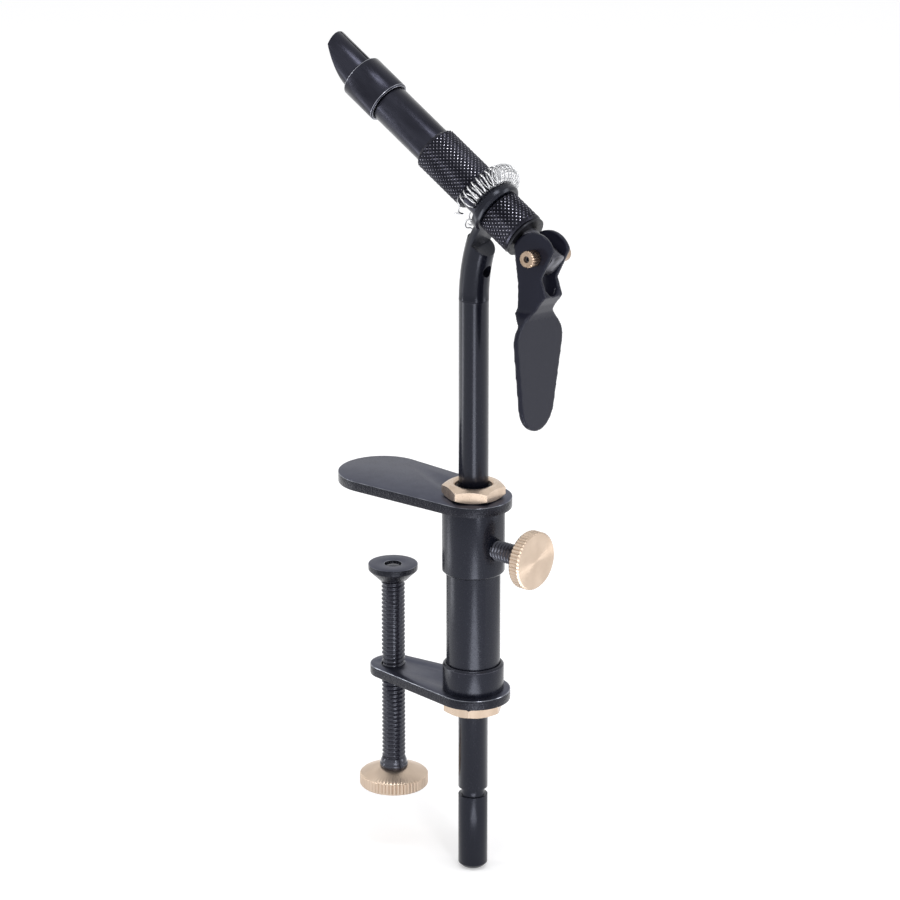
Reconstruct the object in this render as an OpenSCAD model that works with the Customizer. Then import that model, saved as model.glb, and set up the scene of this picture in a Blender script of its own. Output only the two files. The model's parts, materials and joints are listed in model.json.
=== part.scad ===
// Fly tying vise: a table clamp with a sliding post and a turning head with cam closed jaws.
// Origin: clamp screw axis at the table's upper face. +Z up, jaws towards -X, lever at +X.

/* [Table clamp] */
// Distance from the clamp screw to the post
post_reach = 29.85; // [27:0.05:34]
// Clear height between the two plates
throat_h = 55; // [48:1:70]
// Thickness of the upper plate
upper_plate_t = 2.8; // [2.2:0.1:4]
// Radius of the upper plate's end round the post
upper_post_end_r = 10.9; // [10:0.1:13]
// Radius of the upper plate's free end
upper_free_end_r = 12.7; // [10:0.1:14]
// Distance from the clamp screw to the centre of the free end
free_end_past = 3.7; // [2:0.1:6]
// Thickness of the lower plate
lower_plate_t = 2.9; // [2.2:0.1:4]
// Radius of the lower plate's end round the post
lower_post_end_r = 10.6; // [10:0.1:13]
// Radius of the lower plate's end round the clamp screw
lower_screw_end_r = 6.7; // [6:0.1:9]
// Depth of the register in the upper plate that the column stands in
register_h = 0.2; // [0.1:0.1:0.6]

/* [Column] */
// Outer radius of the column tube
column_r = 7.65; // [7:0.05:8]
// Radius of the threaded spigots at the column's ends
spigot_r = 5.25; // [5.1:0.05:5.6]
// Outer radius of the upper collar
upper_collar_r = 8.85; // [8.5:0.05:10]
// Height of the upper collar
upper_collar_h = 19.5; // [16:0.5:22]
// Outer radius of the lower collar
lower_collar_r = 8.7; // [8.5:0.05:10]
// Height of the lower collar
lower_collar_h = 8; // [5:0.5:12]
// Chamfer on the collars' inner ends
collar_edge = 0.6; // [0.3:0.1:1]
// Width of the nuts across their flats
nut_flats = 15.6; // [14.5:0.1:18]
// Height of the nuts
nut_h = 4.1; // [3.5:0.1:6]
// Chamfer at the mouth of the nuts' holes
nut_mouth_edge = 0.6; // [0.2:0.1:0.9]
// Distance of the column's ends inside the nuts' outer faces
spigot_short = 1.2; // [0.2:0.1:1.6]
// Turn of the upper nut
upper_nut_turn = 34.5; // [0:0.5:60]
// Turn of the lower nut
lower_nut_turn = 1.5; // [0:0.5:60]
// Wall of the split liner that the post runs in
liner_wall = 0.45; // [0.4:0.05:0.6]
// Length of the split liner
liner_h = 27; // [22:1:30]
// Width of the liner's slit
liner_slit = 0.6; // [0.3:0.1:1.2]

/* [Clamp screw] */
// Outer radius of the clamp screw's thread
screw_r = 3.375; // [3.1:0.025:3.8]
// Pitch of the clamp screw's thread
screw_pitch = 1.27; // [1:0.01:1.5]
// Depth of the clamp screw's thread
screw_thread = 0.5; // [0.2:0.05:0.6]
// Gap from the table's upper face to the pad, as it is set now
clamp_gap = 24.55; // [10:0.05:40]
// Radius of the pad
pad_r = 7.1; // [6:0.1:9]
// Height of the pad's straight rim
pad_rim_h = 1.6; // [1.2:0.1:2.5]
// Height of the pad's cone
pad_cone_h = 3; // [2:0.1:4]
// Radius of the recess in the pad's top
pad_recess_r = 2.45; // [2.3:0.05:3]
// Depth of the recess in the pad's top
pad_recess_h = 1.1; // [0.9:0.1:1.2]
// Radius of the screw's neck in the pad
neck_r = 1.8; // [1.4:0.05:2]
// Height of the peened dome on the neck
dome_h = 0.8; // [0.5:0.05:0.9]
// Length of the screw from the pad's top to its flange
screw_to_flange = 59.65; // [56:0.05:75]
// Radius of the flange above the knob
flange_r = 4.05; // [3.9:0.05:5]
// Height of the flange
flange_h = 2.8; // [2:0.1:4]
// Radius of the clamp knob
clamp_knob_r = 9.9; // [8:0.1:13]
// Height of the clamp knob's knurled rim
clamp_knob_rim_h = 3.7; // [3:0.1:5]
// Height of the clamp knob's cone
clamp_knob_cone_h = 2; // [1:0.1:3]
// Radius of the screw's tang in the knob
tang_r = 2.5; // [2:0.1:3]

/* [Thumb screw] */
// Depth of the thumb screw below the table's upper face
thumb_drop = 11.4; // [8:0.1:14]
// Outer radius of the thumb screw's thread
thumb_r = 2.9; // [2.5:0.05:3.2]
// Pitch of the thumb screw's thread
thumb_pitch = 1; // [0.8:0.05:1.25]
// Depth of the thumb screw's thread
thumb_thread = 0.4; // [0.2:0.05:0.5]
// Length of thread that shows between the collar and the head
thumb_out = 10.35; // [6:0.05:16]
// Radius of the thumb screw's head
thumb_knob_r = 8.3; // [7:0.1:10]
// Thickness of the thumb screw's head
thumb_knob_t = 3.5; // [3:0.1:5]
// Length of the brass slug ahead of the screw
slug_len = 1.6; // [1:0.1:2]

/* [Post] */
// Radius of the post
post_r = 4.2; // [3.6:0.05:4.4]
// Depth of the post's lower end below the table's upper face
post_drop = 109.7; // [95:0.1:125]
// Height where the head's axis crosses the post's axis
head_h = 92.6; // [88:0.1:110]
// Chamfer on the post's lower end
post_edge = 1; // [0.5:0.1:1.5]
// Distance of the ring groove from the post's lower end
groove_up = 22.1; // [18:0.1:28]
// Width of the ring groove
groove_w = 2.4; // [1.5:0.1:3]
// Radius of the post in the ring groove
groove_r = 3.33; // [3:0.01:3.5]
// Height of the accessory hole above the table's upper face
accessory_h = 69.2; // [64:0.1:70]
// Radius of the accessory hole
accessory_r = 1.7; // [1.2:0.05:2]
// Depth of the accessory hole
accessory_deep = 5; // [4:0.5:6]

/* [Eye] */
// Distance of the eye behind the crossing of head and post
eye_back = 8.95; // [8.5:0.05:11]
// Width of the eye
eye_w = 2.3; // [2:0.1:3]
// Outer radius of the eye
eye_r = 7.8; // [7:0.1:8.4]
// Chamfer on the eye's rear edge
eye_edge = 0.6; // [0.2:0.1:0.9]
// Radius of the flat milled on the post in front of the eye
front_flat_r = 12; // [11.7:0.1:14]
// Radius of the flat milled on the post behind the eye
rear_flat_r = 12.8; // [12.5:0.1:17]

/* [Head] */
// Tilt of the head's axis above level
head_tilt = 31.1; // [20:0.1:40]
// Turn of the head about its own axis, as it stands now
head_roll = 9; // [0:0.5:30]
// Outer radius of the barrel
barrel_r = 5.575; // [5.3:0.025:5.6]
// Radius of the barrel's journal in the eye
journal_r = 4.9; // [4.6:0.05:5]
// Radius of the drawbar
drawbar_r = 3.5; // [3.2:0.05:3.7]
// Station of the jaw collar's rear end
collar_from = 35.6; // [33:0.1:40]
// Length of the jaw collar
collar_len = 12; // [11:0.1:14]
// Outer radius of the jaw collar
collar_r = 6.46; // [6.2:0.02:7]
// Chamfer on the jaw collar's ends
jaw_collar_edge = 0.4; // [0.2:0.1:0.6]
// Depth of the recess in the jaw collar's rear end
collar_recess = 0.5; // [0.2:0.1:1]
// Station of the front grip's front end
grip_to = 16.4; // [14:0.1:20]
// Station of the front grip's rear end
grip_from = -1.8; // [-2:0.1:2]
// Outer radius of the front grip
grip_r = 6.675; // [6.2:0.025:7]
// Chamfer on the grip's ends
grip_edge = 0.6; // [0.2:0.1:1]
// Gap between the eye and the adjusting sleeve
sleeve_gap = 0.2; // [0.1:0.05:0.4]
// Length of the adjusting sleeve
sleeve_len = 10.5; // [9:0.1:11]
// Outer radius of the adjusting sleeve
sleeve_r = 6.6; // [6.2:0.05:7]
// Width of the adjusting sleeve's bright rear chamfer
sleeve_edge = 0.9; // [0.4:0.1:1.2]
// Thickness of the adjusting sleeve's rear wall
sleeve_wall = 1.2; // [1:0.1:2]
// Thickness of the thrust washer
washer_t = 0.7; // [0.5:0.05:1.2]
// Radius of the thrust washer
washer_r = 6.35; // [5.5:0.05:6.5]

/* [Jaws] */
// Radius of the jaws in front of the collar
jaw_r = 5.05; // [4.6:0.05:5.2]
// Turn of the jaws against the lever
jaw_roll = 4; // [0:0.5:20]
// Length of the jaws in front of the collar
jaw_out = 13.1; // [11:0.1:16]
// Distance from the collar to the start of the slope below the nose
slope_from = 0.6; // [0:0.1:3]
// Height of the nose's face
nose_h = 3.4; // [2:0.05:4]
// Slope of the nose's face from upright
nose_lean = 24; // [10:1:35]
// Width of the slit at the collar
slit_rear = 0.7; // [0.3:0.05:0.8]
// Width of the slit at the tip
slit_tip = 0.25; // [0.1:0.01:0.3]
// Loss of radius along the taper, for each unit of length
taper = 0.19; // [0.12:0.01:0.2]
// Length of the taper inside the collar
taper_len = 6.6; // [5:0.1:7]
// Station of the jaw pin
jaw_pin_at = 29; // [27:0.1:30]
// Radius of the jaw pin
jaw_pin_r = 0.9; // [0.7:0.05:1]
// Radius of the jaws' knuckles
knuckle_r = 2; // [1.7:0.05:2.2]
// Height of the slot in the drawbar for both knuckles
fork_slot = 4; // [3:0.1:4.2]

/* [Lever] */
// Station of the pivot pin behind the crossing of head and post
pivot_back = 28.9; // [28:0.1:31]
// Distance of the pivot pin below the head's axis
pivot_low = 0.43; // [0:0.01:0.8]
// Angle between the closed lever and straight down from the head's axis
lever_angle = 34.2; // [25:0.1:45]
// Length of the lever from its pivot to its tip
lever_len = 48.2; // [44:0.1:60]
// Thickness of the lever's sheet
sheet = 1.5; // [1.2:0.05:1.6]
// Gap between the lever's ears
ear_gap = 6; // [5.6:0.1:6.6]
// Rise of the cam over the lever's travel
cam_rise = 0.95; // [0.6:0.05:1.1]
// Travel of the lever in degrees
lever_travel = 110; // [90:5:120]
// Distance of the ears' front edge from the lever's middle plane
ear_front = 5; // [3:0.1:5]
// Distance of the web's back from the lever's middle plane
web_back = 4; // [3.5:0.1:4.5]
// Distance from the pivot to the web's upper rim
web_from = 10.5; // [9.5:0.1:12]
// Distance from the pivot to the paddle's neck
neck_at = 15.5; // [15:0.1:18]
// Distance from the pivot to the paddle's widest place
paddle_at = 23; // [21:0.2:27]
// Half the paddle's greatest width
paddle_half_w = 11.2; // [9:0.1:12]
// Radius of the paddle's rounded tip
paddle_tip_r = 8; // [6:0.1:8.4]
// Radius of the pivot pin
pivot_r = 1.5; // [1.2:0.05:1.7]
// Radius of the pivot's brass knob
pivot_knob_r = 2.35; // [2.2:0.05:3]
// Distance that the near knob stands out from the ear
pivot_near_out = 3.8; // [2:0.1:5]
// Distance that the pin's far head stands out from the ear
pivot_far_out = 5.9; // [1:0.1:7]

/* [Material spring] */
// Radius of the spring's ring, along the middle of its curls
spring_ring_r = 8.5; // [8.5:0.05:9.2]
// Radius of a curl, to the middle of the wire
curl_r = 2.65; // [2.2:0.05:2.65]
// Diameter of the wire
wire_d = 0.45; // [0.3:0.05:0.46]
// Number of curls
curls = 30; // [16:1:30]
// Angle of the ring that the curls fill
spring_arc = 268; // [266:1:276]
// Angle of the first curl from the head's upper side
spring_start = 98; // [90:1:110]
// Station of the spring
spring_at = -4.85; // [-4.85:0.05:-4.6]

/* [Hidden] */
$fn = 48;

// Clearances, and the overrun of cuts
run_gap = 0.05;
seat_gap = 0.02;
register_gap = 0.1;
over = 0.6;

// Places of the clamp
lower_plate_z = -throat_h;
lower_face_z = lower_plate_z - lower_plate_t;
nut_top_z = upper_plate_t + nut_h;
lower_nut_z = lower_face_z - nut_h;
column_bore_r = post_r + run_gap;
liner_inner_r = post_r + run_gap;
liner_outer_r = liner_inner_r + liner_wall;
liner_bore_r = liner_outer_r + run_gap;
liner_top_z = nut_top_z - spigot_short;
liner_low_z = liner_top_z - liner_h;
pad_top_z = -clamp_gap;
pad_low_z = pad_top_z - pad_rim_h - pad_cone_h;
pad_foot_share = 0.2;
pad_foot_r = screw_r + (pad_r - screw_r) * pad_foot_share;
flange_z = pad_top_z - screw_to_flange;
knob_top_z = flange_z - flange_h;
knob_low_z = knob_top_z - clamp_knob_cone_h - clamp_knob_rim_h;
knob_edge_share = 0.12;
crest_shares = [0.35, 0.5, 0.85];
dome_shares = [0.2, 0.75];
nut_foot_share = 0.75;

// Places of the thumb screw, measured from the post's axis
slug_from = liner_outer_r + run_gap;
slug_to = slug_from + slug_len;
thumb_head_from = upper_collar_r + thumb_out;
thumb_tang_share = 0.7;
thumb_tang_r = thumb_r * thumb_tang_share;

// Places of the post
groove_z = groove_up - post_drop;
bend_side = eye_back / tan(head_tilt);
bend_r = bend_side / tan(head_tilt / 2);
bend_z = head_h - eye_back / sin(head_tilt) - bend_side;
seam_h = 0.3;
accessory_share = 0.1;
accessory_out = post_r * accessory_share;

// Stations along the head's axis, forwards from the crossing of head and post
eye_front = -eye_back + eye_w / 2;
eye_rear = -eye_back - eye_w / 2;
sleeve_front = eye_rear - sleeve_gap;
sleeve_rear = sleeve_front - sleeve_len;
barrel_rear = sleeve_rear + sleeve_wall + run_gap;
washer_rear = sleeve_rear - washer_t;
collar_to = collar_from + collar_len;
drawbar_bore_r = drawbar_r + run_gap;
jaw_tip = collar_to + jaw_out;
shoulder_len = 4;
fork_deep = 6.4;
fork_back = jaw_pin_at - knuckle_r - run_gap;
drawbar_front = jaw_pin_at + knuckle_r;
jaw_room = 0.75;
jaw_bore_r = drawbar_r + jaw_room;
jaw_bore_from = fork_back - fork_deep;
taper_rear = collar_to - taper_len;
taper_gap = 0.08;
taper_small_r = jaw_r - taper * taper_len;
shank_step = 0.25;
shank_r = taper_small_r - shank_step;
barrel_front = collar_from + shoulder_len;
nose_rise = jaw_r - nose_h;
nose_back = nose_h * tan(nose_lean);
slope_share = 0.1;

// Places of the lever, with its pivot as the start
ear_in = ear_gap / 2;
ear_out = ear_in + sheet;
cam_gap = 0.05;
cam_reach = pivot_back + washer_rear - cam_gap;
cam_slope = cam_rise / (lever_travel * PI / 180);
cam_margin = 10;
cam_from = 90 + lever_angle - cam_margin;
cam_to = 90 + lever_angle + lever_travel;
cam_end = 258;
cam_step = 5;
paddle_lift_share = 0.07;
tail_gap = 0.15;
tail_half = ear_in - tail_gap;
tail_past = 4.1;
rim_shares = [0.54, 0.55, 0.7, 0.72, 1.04];
web_shares = [0.5, 0.12];
tip_share = 0.27;
shoulder_share = 0.45;
shoulder_r = paddle_half_w * shoulder_share;
flare_parts = 10;
flare_start_share = -0.15;
flare_power = 0.62;
arc_parts = 8;
core_shares = [0.6, 0.9];

// Steps of the material spring
curl_rings = 8;
wire_sides = 6;
arc_steps = curls * curl_rings;

module at_post() {
    translate([post_reach, 0, 0]) children();
}

// The head's own frame: X along the barrel to the jaws, Y to the near side, Z up
module in_head() {
    translate([post_reach, 0, head_h]) rotate([0, 0, 180]) rotate([0, -head_tilt, 0])
        rotate([head_roll, 0, 0]) children();
}

// The lever's own frame: X from the pivot to the tip, Y to the near side, Z to the front
module in_lever() {
    in_head() translate([-pivot_back, 0, -pivot_low]) rotate([0, 90 + lever_angle, 0]) children();
}

// A solid turned about the head's axis, from points of radius and station
module turned_in_head(points) {
    in_head() rotate([0, 90, 0]) rotate_extrude() polygon(points);
}

module disc(r, low, high) {
    translate([0, 0, low]) cylinder(r = r, h = high - low);
}

// Outline of a plate with two round ends of different radius
module plate_outline(x_a, r_a, x_b, r_b) {
    hull() {
        translate([x_a, 0]) circle(r = r_a, $fn = 96);
        translate([x_b, 0]) circle(r = r_b, $fn = 96);
    }
}

// Points of a thread's ridges, from low to high
function ridges(r, deep, pitch, low, high) =
    [for (i = [0 : floor((high - low) / pitch) - 1])
        each [[r - deep, low + pitch * i], [r, low + pitch * (i + crest_shares[0])],
              [r, low + pitch * (i + crest_shares[1])], [r - deep, low + pitch * (i + crest_shares[2])]]];

module upper_plate() {
    color("slategray") difference() {
        linear_extrude(upper_plate_t)
            plate_outline(-free_end_past, upper_free_end_r, post_reach, upper_post_end_r);
        at_post() disc(spigot_r + seat_gap, -over, upper_plate_t + over);
        at_post() disc(upper_collar_r + register_gap, -over, register_h);
    }
}

module lower_plate() {
    color("slategray") difference() {
        translate([0, 0, lower_face_z]) linear_extrude(lower_plate_t)
            plate_outline(0, lower_screw_end_r, post_reach, lower_post_end_r);
        at_post() disc(spigot_r + seat_gap, lower_face_z - over, lower_plate_z + over);
        disc(screw_r + run_gap, lower_face_z - over, lower_plate_z + over);
    }
}

module thumb_hole(from, to) {
    translate([from, 0, -thumb_drop]) rotate([0, 90, 0])
        cylinder(r = thumb_r + run_gap, h = to - from);
}

module column_tube() {
    color("#23242a") at_post() difference() {
        union() {
            disc(column_r, lower_plate_z, register_h);
            disc(spigot_r, lower_nut_z + spigot_short, liner_top_z);
        }
        disc(column_bore_r, lower_nut_z - over, liner_low_z + over);
        disc(liner_bore_r, liner_low_z, liner_top_z + over);
        thumb_hole(0, column_r + over);
    }
}

module upper_collar() {
    color("#2a2b31") at_post() difference() {
        rotate_extrude() polygon([
            [column_r + seat_gap, -upper_collar_h],
            [upper_collar_r - collar_edge, -upper_collar_h],
            [upper_collar_r, collar_edge - upper_collar_h],
            [upper_collar_r, register_h],
            [column_r + seat_gap, register_h]]);
        thumb_hole(0, upper_collar_r + over);
    }
}

module lower_collar() {
    top = lower_plate_z + lower_collar_h;
    color("#2a2b31") at_post() rotate_extrude() polygon([
        [column_r + seat_gap, lower_plate_z],
        [lower_collar_r, lower_plate_z],
        [lower_collar_r, top - collar_edge],
        [lower_collar_r - collar_edge, top],
        [column_r + seat_gap, top]]);
}

// A hexagon nut whose outer face looks up, with its corners turned off at both ends
module nut() {
    corner_r = nut_flats / (2 * cos(30));
    mouth_r = spigot_r + seat_gap + nut_mouth_edge;
    edge = corner_r - nut_flats / 2;
    difference() {
        intersection() {
            cylinder(r = corner_r, h = nut_h, $fn = 6);
            rotate_extrude() polygon([
                [0, 0],
                [corner_r - 2 * edge * nut_foot_share, 0],
                [corner_r, edge * nut_foot_share],
                [corner_r, nut_h - edge],
                [corner_r - 2 * edge, nut_h],
                [0, nut_h]]);
        }
        disc(spigot_r + seat_gap, -over, nut_h + over);
        translate([0, 0, nut_h - nut_mouth_edge])
            cylinder(r1 = mouth_r - nut_mouth_edge, r2 = mouth_r + over, h = nut_mouth_edge + over);
    }
}

module upper_nut() {
    color("goldenrod") at_post() translate([0, 0, upper_plate_t]) rotate([0, 0, upper_nut_turn])
        nut();
}

module lower_nut() {
    color("goldenrod") at_post() translate([0, 0, lower_face_z]) rotate([0, 0, lower_nut_turn])
        mirror([0, 0, 1]) nut();
}

module clamp_pad() {
    color("slategray") rotate_extrude() polygon([
        [neck_r + run_gap, pad_low_z],
        [pad_foot_r, pad_low_z],
        [pad_r, pad_top_z - pad_rim_h],
        [pad_r, pad_top_z],
        [pad_recess_r, pad_top_z],
        [pad_recess_r, pad_top_z - pad_recess_h],
        [neck_r + run_gap, pad_top_z - pad_recess_h]]);
}

module clamp_screw() {
    shoulder_z = pad_low_z - run_gap;
    dome_z = pad_top_z - pad_recess_h + run_gap;
    dome_r = pad_recess_r - 2 * run_gap;
    color("#1d1e22") rotate_extrude() polygon(concat(
        [[0, knob_low_z], [tang_r, knob_low_z], [tang_r, knob_top_z], [flange_r, knob_top_z]],
        ridges(screw_r, screw_thread, screw_pitch, flange_z, shoulder_z - screw_pitch / 2),
        [[screw_r - screw_thread, shoulder_z], [neck_r, shoulder_z], [neck_r, dome_z], [dome_r, dome_z],
         [dome_r, dome_z + dome_h * dome_shares[0]],
         [dome_r * dome_shares[1], dome_z + dome_h * dome_shares[1]],
         [0, dome_z + dome_h]]));
}

module clamp_knob() {
    edge = clamp_knob_rim_h * knob_edge_share;
    rim_z = knob_top_z - clamp_knob_cone_h;
    color("burlywood") rotate_extrude() polygon([
        [tang_r + seat_gap, knob_low_z],
        [clamp_knob_r - edge, knob_low_z],
        [clamp_knob_r, knob_low_z + edge],
        [clamp_knob_r, rim_z - edge],
        [clamp_knob_r - edge, rim_z],
        [flange_r, knob_top_z],
        [tang_r + seat_gap, knob_top_z]]);
}

module along_thumb() {
    translate([post_reach, 0, -thumb_drop]) rotate([0, 90, 0]) children();
}

module pressure_slug() {
    color("burlywood") along_thumb() disc(thumb_r, slug_from, slug_to);
}

module thumb_screw() {
    from = slug_to + run_gap;
    color("#1d1e22") along_thumb() rotate_extrude() polygon(concat(
        [[0, from], [thumb_r - thumb_thread, from]],
        ridges(thumb_r, thumb_thread, thumb_pitch, from, thumb_head_from),
        [[thumb_r - thumb_thread, thumb_head_from], [thumb_tang_r, thumb_head_from],
         [thumb_tang_r, thumb_head_from + thumb_knob_t / 2], [0, thumb_head_from + thumb_knob_t / 2]]));
}

module thumb_knob() {
    edge = thumb_knob_t * knob_edge_share;
    outer = thumb_head_from + thumb_knob_t;
    deep = thumb_head_from + thumb_knob_t / 2 + run_gap;
    color("burlywood") along_thumb() rotate_extrude() polygon([
        [thumb_tang_r + seat_gap, thumb_head_from],
        [thumb_knob_r - edge, thumb_head_from],
        [thumb_knob_r, thumb_head_from + edge],
        [thumb_knob_r, outer - edge],
        [thumb_knob_r - edge, outer],
        [0, outer],
        [0, deep],
        [thumb_tang_r + seat_gap, deep]]);
}

module post_liner() {
    color("#121317") at_post() difference() {
        disc(liner_outer_r, liner_low_z + run_gap, liner_top_z);
        disc(liner_inner_r, liner_low_z - over, liner_top_z + over);
        translate([-liner_outer_r - over, -liner_slit / 2, liner_low_z - over])
            cube([liner_outer_r + over, liner_slit, liner_h + 2 * over]);
    }
}

// The head's frame without its roll, for the eye that stands still when the head turns
module in_eye() {
    translate([post_reach, 0, head_h]) rotate([0, 0, 180]) rotate([0, -head_tilt, 0]) children();
}

module post() {
    color("#202127") {
        difference() {
            union() {
                at_post() rotate_extrude() polygon([
                    [0, -post_drop],
                    [post_r - post_edge, -post_drop],
                    [post_r, post_edge - post_drop],
                    [post_r, groove_z],
                    [groove_r, groove_z],
                    [groove_r, groove_z + groove_w],
                    [post_r, groove_z + groove_w],
                    [post_r, bend_z - seam_h / 2],
                    [0, bend_z - seam_h / 2]]);
                at_post() disc(post_r + seat_gap, bend_z - seam_h, bend_z + seam_h);
                translate([post_reach + bend_r, 0, bend_z]) rotate([90, 0, 0])
                    rotate([0, 0, 180 - head_tilt])
                    rotate_extrude(angle = head_tilt) translate([bend_r, 0]) circle(r = post_r);
                in_eye() rotate([0, 90, 0]) rotate_extrude() polygon([
                    [0, eye_rear],
                    [eye_r - eye_edge, eye_rear],
                    [eye_r, eye_rear + eye_edge],
                    [eye_r, eye_front],
                    [0, eye_front]]);
            }
            in_eye() translate([eye_front, 0, 0]) rotate([0, 90, 0])
                cylinder(r = front_flat_r, h = 2 * post_r);
            in_eye() translate([eye_rear - 2 * post_r, 0, 0]) rotate([0, 90, 0])
                cylinder(r = rear_flat_r, h = 2 * post_r);
            in_eye() translate([eye_rear - over, 0, 0]) rotate([0, 90, 0])
                cylinder(r = journal_r + run_gap, h = eye_w + 2 * over);
            translate([post_reach, 0, accessory_h]) rotate([0, 90, 0])
                translate([0, 0, post_r - accessory_deep + accessory_out])
                cylinder(r = accessory_r, h = accessory_deep + post_r);
        }
    }
}

module barrel() {
    color("#2b2d36") turned_in_head([
        [drawbar_bore_r, barrel_rear],
        [journal_r, barrel_rear],
        [journal_r, eye_front + run_gap],
        [barrel_r, eye_front + run_gap],
        [barrel_r, collar_from],
        [journal_r, collar_from],
        [journal_r, barrel_front],
        [jaw_bore_r, barrel_front],
        [jaw_bore_r, jaw_bore_from],
        [drawbar_bore_r, jaw_bore_from]]);
}

module jaw_collar() {
    mouth_r = jaw_r + taper_gap;
    small_r = taper_small_r + taper_gap;
    lip_r = (barrel_r + collar_r - jaw_collar_edge) / 2;
    color("#2b2d36") turned_in_head([
        [journal_r + seat_gap, collar_from + collar_recess],
        [lip_r, collar_from],
        [collar_r - jaw_collar_edge, collar_from],
        [collar_r, collar_from + jaw_collar_edge],
        [collar_r, collar_to - jaw_collar_edge],
        [collar_r - jaw_collar_edge, collar_to],
        [mouth_r, collar_to],
        [small_r, taper_rear],
        [small_r, barrel_front + run_gap],
        [journal_r + seat_gap, barrel_front + run_gap]]);
}

module grip_sleeve() {
    color("#24252b") turned_in_head([
        [barrel_r + seat_gap, grip_from],
        [grip_r - grip_edge, grip_from],
        [grip_r, grip_from + grip_edge],
        [grip_r, grip_to - grip_edge],
        [grip_r - grip_edge, grip_to],
        [barrel_r + seat_gap, grip_to]]);
}

module adjusting_sleeve() {
    color("#24252b") turned_in_head([
        [journal_r + run_gap, sleeve_front],
        [sleeve_r - grip_edge / 2, sleeve_front],
        [sleeve_r, sleeve_front - grip_edge / 2],
        [sleeve_r, sleeve_rear + sleeve_edge],
        [sleeve_r - sleeve_edge, sleeve_rear],
        [drawbar_bore_r, sleeve_rear],
        [drawbar_bore_r, sleeve_rear + sleeve_wall],
        [journal_r + run_gap, sleeve_rear + sleeve_wall]]);
}

module thrust_washer() {
    color("#15161a") turned_in_head([
        [drawbar_bore_r, washer_rear],
        [washer_r, washer_rear],
        [washer_r, sleeve_rear],
        [drawbar_bore_r, sleeve_rear]]);
}

module drawbar() {
    tail_end = -pivot_back - tail_past;
    color("#55565c") in_head() difference() {
        rotate([0, 90, 0]) disc(drawbar_r, tail_end, drawbar_front);
        for (side = [-1, 1])
            translate([tail_end - over, side * (tail_half + drawbar_r) - drawbar_r, -drawbar_r - over])
                cube([washer_rear + tail_gap - tail_end + over, 2 * drawbar_r, 2 * (drawbar_r + over)]);
        rotate([jaw_roll, 0, 0]) translate([fork_back, -drawbar_r - over, -fork_slot / 2])
            cube([drawbar_front - fork_back + over, 2 * (drawbar_r + over), fork_slot]);
        rotate([jaw_roll, 0, 0]) translate([jaw_pin_at, 0, -drawbar_r - over])
            cylinder(r = jaw_pin_r + seat_gap, h = 2 * (drawbar_r + over));
        translate([-pivot_back, 0, -pivot_low]) rotate([90, 0, 0])
            translate([0, 0, -drawbar_r]) cylinder(r = pivot_r + run_gap, h = 2 * drawbar_r);
    }
}

// The head's frame turned to the jaws' slit, whose plane is the frame's XZ plane
module in_jaws() {
    in_head() rotate([jaw_roll, 0, 0]) children();
}

module jaw_pin() {
    half = sqrt(pow(drawbar_r, 2) - pow(jaw_pin_r, 2));
    color("silver") in_jaws() translate([jaw_pin_at, 0, -half]) cylinder(r = jaw_pin_r, h = 2 * half);
}

// The jaw on the near side, in the jaws' frame, with its knuckle above or below the other's
module jaw(knuckle_low, knuckle_high) {
    neck = knuckle_r * 2;
    difference() {
        union() {
            intersection() {
                rotate([0, 90, 0]) rotate_extrude() polygon([
                    [0, jaw_pin_at + neck],
                    [shank_r, jaw_pin_at + neck],
                    [shank_r, taper_rear - run_gap],
                    [taper_small_r, taper_rear],
                    [jaw_r, collar_to],
                    [jaw_r, jaw_tip],
                    [0, jaw_tip]]);
                translate([0, 0, -jaw_r]) linear_extrude(2 * jaw_r) polygon([
                    [jaw_pin_at, slit_rear / 2],
                    [collar_to, slit_rear / 2],
                    [jaw_tip, slit_tip / 2],
                    [jaw_tip, jaw_r + over],
                    [jaw_pin_at, jaw_r + over]]);
            }
            translate([jaw_pin_at, 0, knuckle_low])
                cylinder(r = knuckle_r, h = knuckle_high - knuckle_low);
            translate([jaw_pin_at, slit_rear / 2, knuckle_low])
                cube([neck + over, knuckle_r - slit_rear / 2, knuckle_high - knuckle_low]);
        }
        translate([jaw_pin_at, 0, knuckle_low - over])
            cylinder(r = jaw_pin_r + run_gap, h = knuckle_high - knuckle_low + 2 * over);
        nose_cuts();
    }
}

// Cut below and in front of the nose, across both jaws
module nose_cuts() {
    start = [collar_to + slope_from, -jaw_r];
    corner = [jaw_tip - nose_back, nose_rise];
    past = start - (corner - start) * slope_share;
    across(jaw_r + over) polygon([
        past,
        corner,
        [jaw_tip + nose_back, jaw_r + nose_h],
        [jaw_tip + nose_back, past[1]]]);
}

module jaw_near() {
    color("#30323b") in_jaws() jaw(seat_gap, fork_slot / 2 - run_gap);
}

module jaw_far() {
    color("#30323b") in_jaws() mirror([0, 1, 0]) jaw(run_gap - fork_slot / 2, -seat_gap);
}

// Distance of the cam's edge from the pivot, square to the edge, in a direction from the lever
function cam_height(turn) = cam_reach - cam_rise * (turn - 90 - lever_angle) / lever_travel;

// Points of the cam's edge: an even spiral, then the arc that carries it on
function cam_edge() =
    concat(
        [for (t = [cam_from : cam_step : cam_to])
            cam_height(t) * [cos(t), sin(t)] - cam_slope * [-sin(t), cos(t)]],
        [for (t = [cam_to + cam_step : cam_step : cam_end])
            cam_height(cam_to) * [cos(t), sin(t)] - cam_slope * [-sin(cam_to), cos(cam_to)]]);

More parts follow.
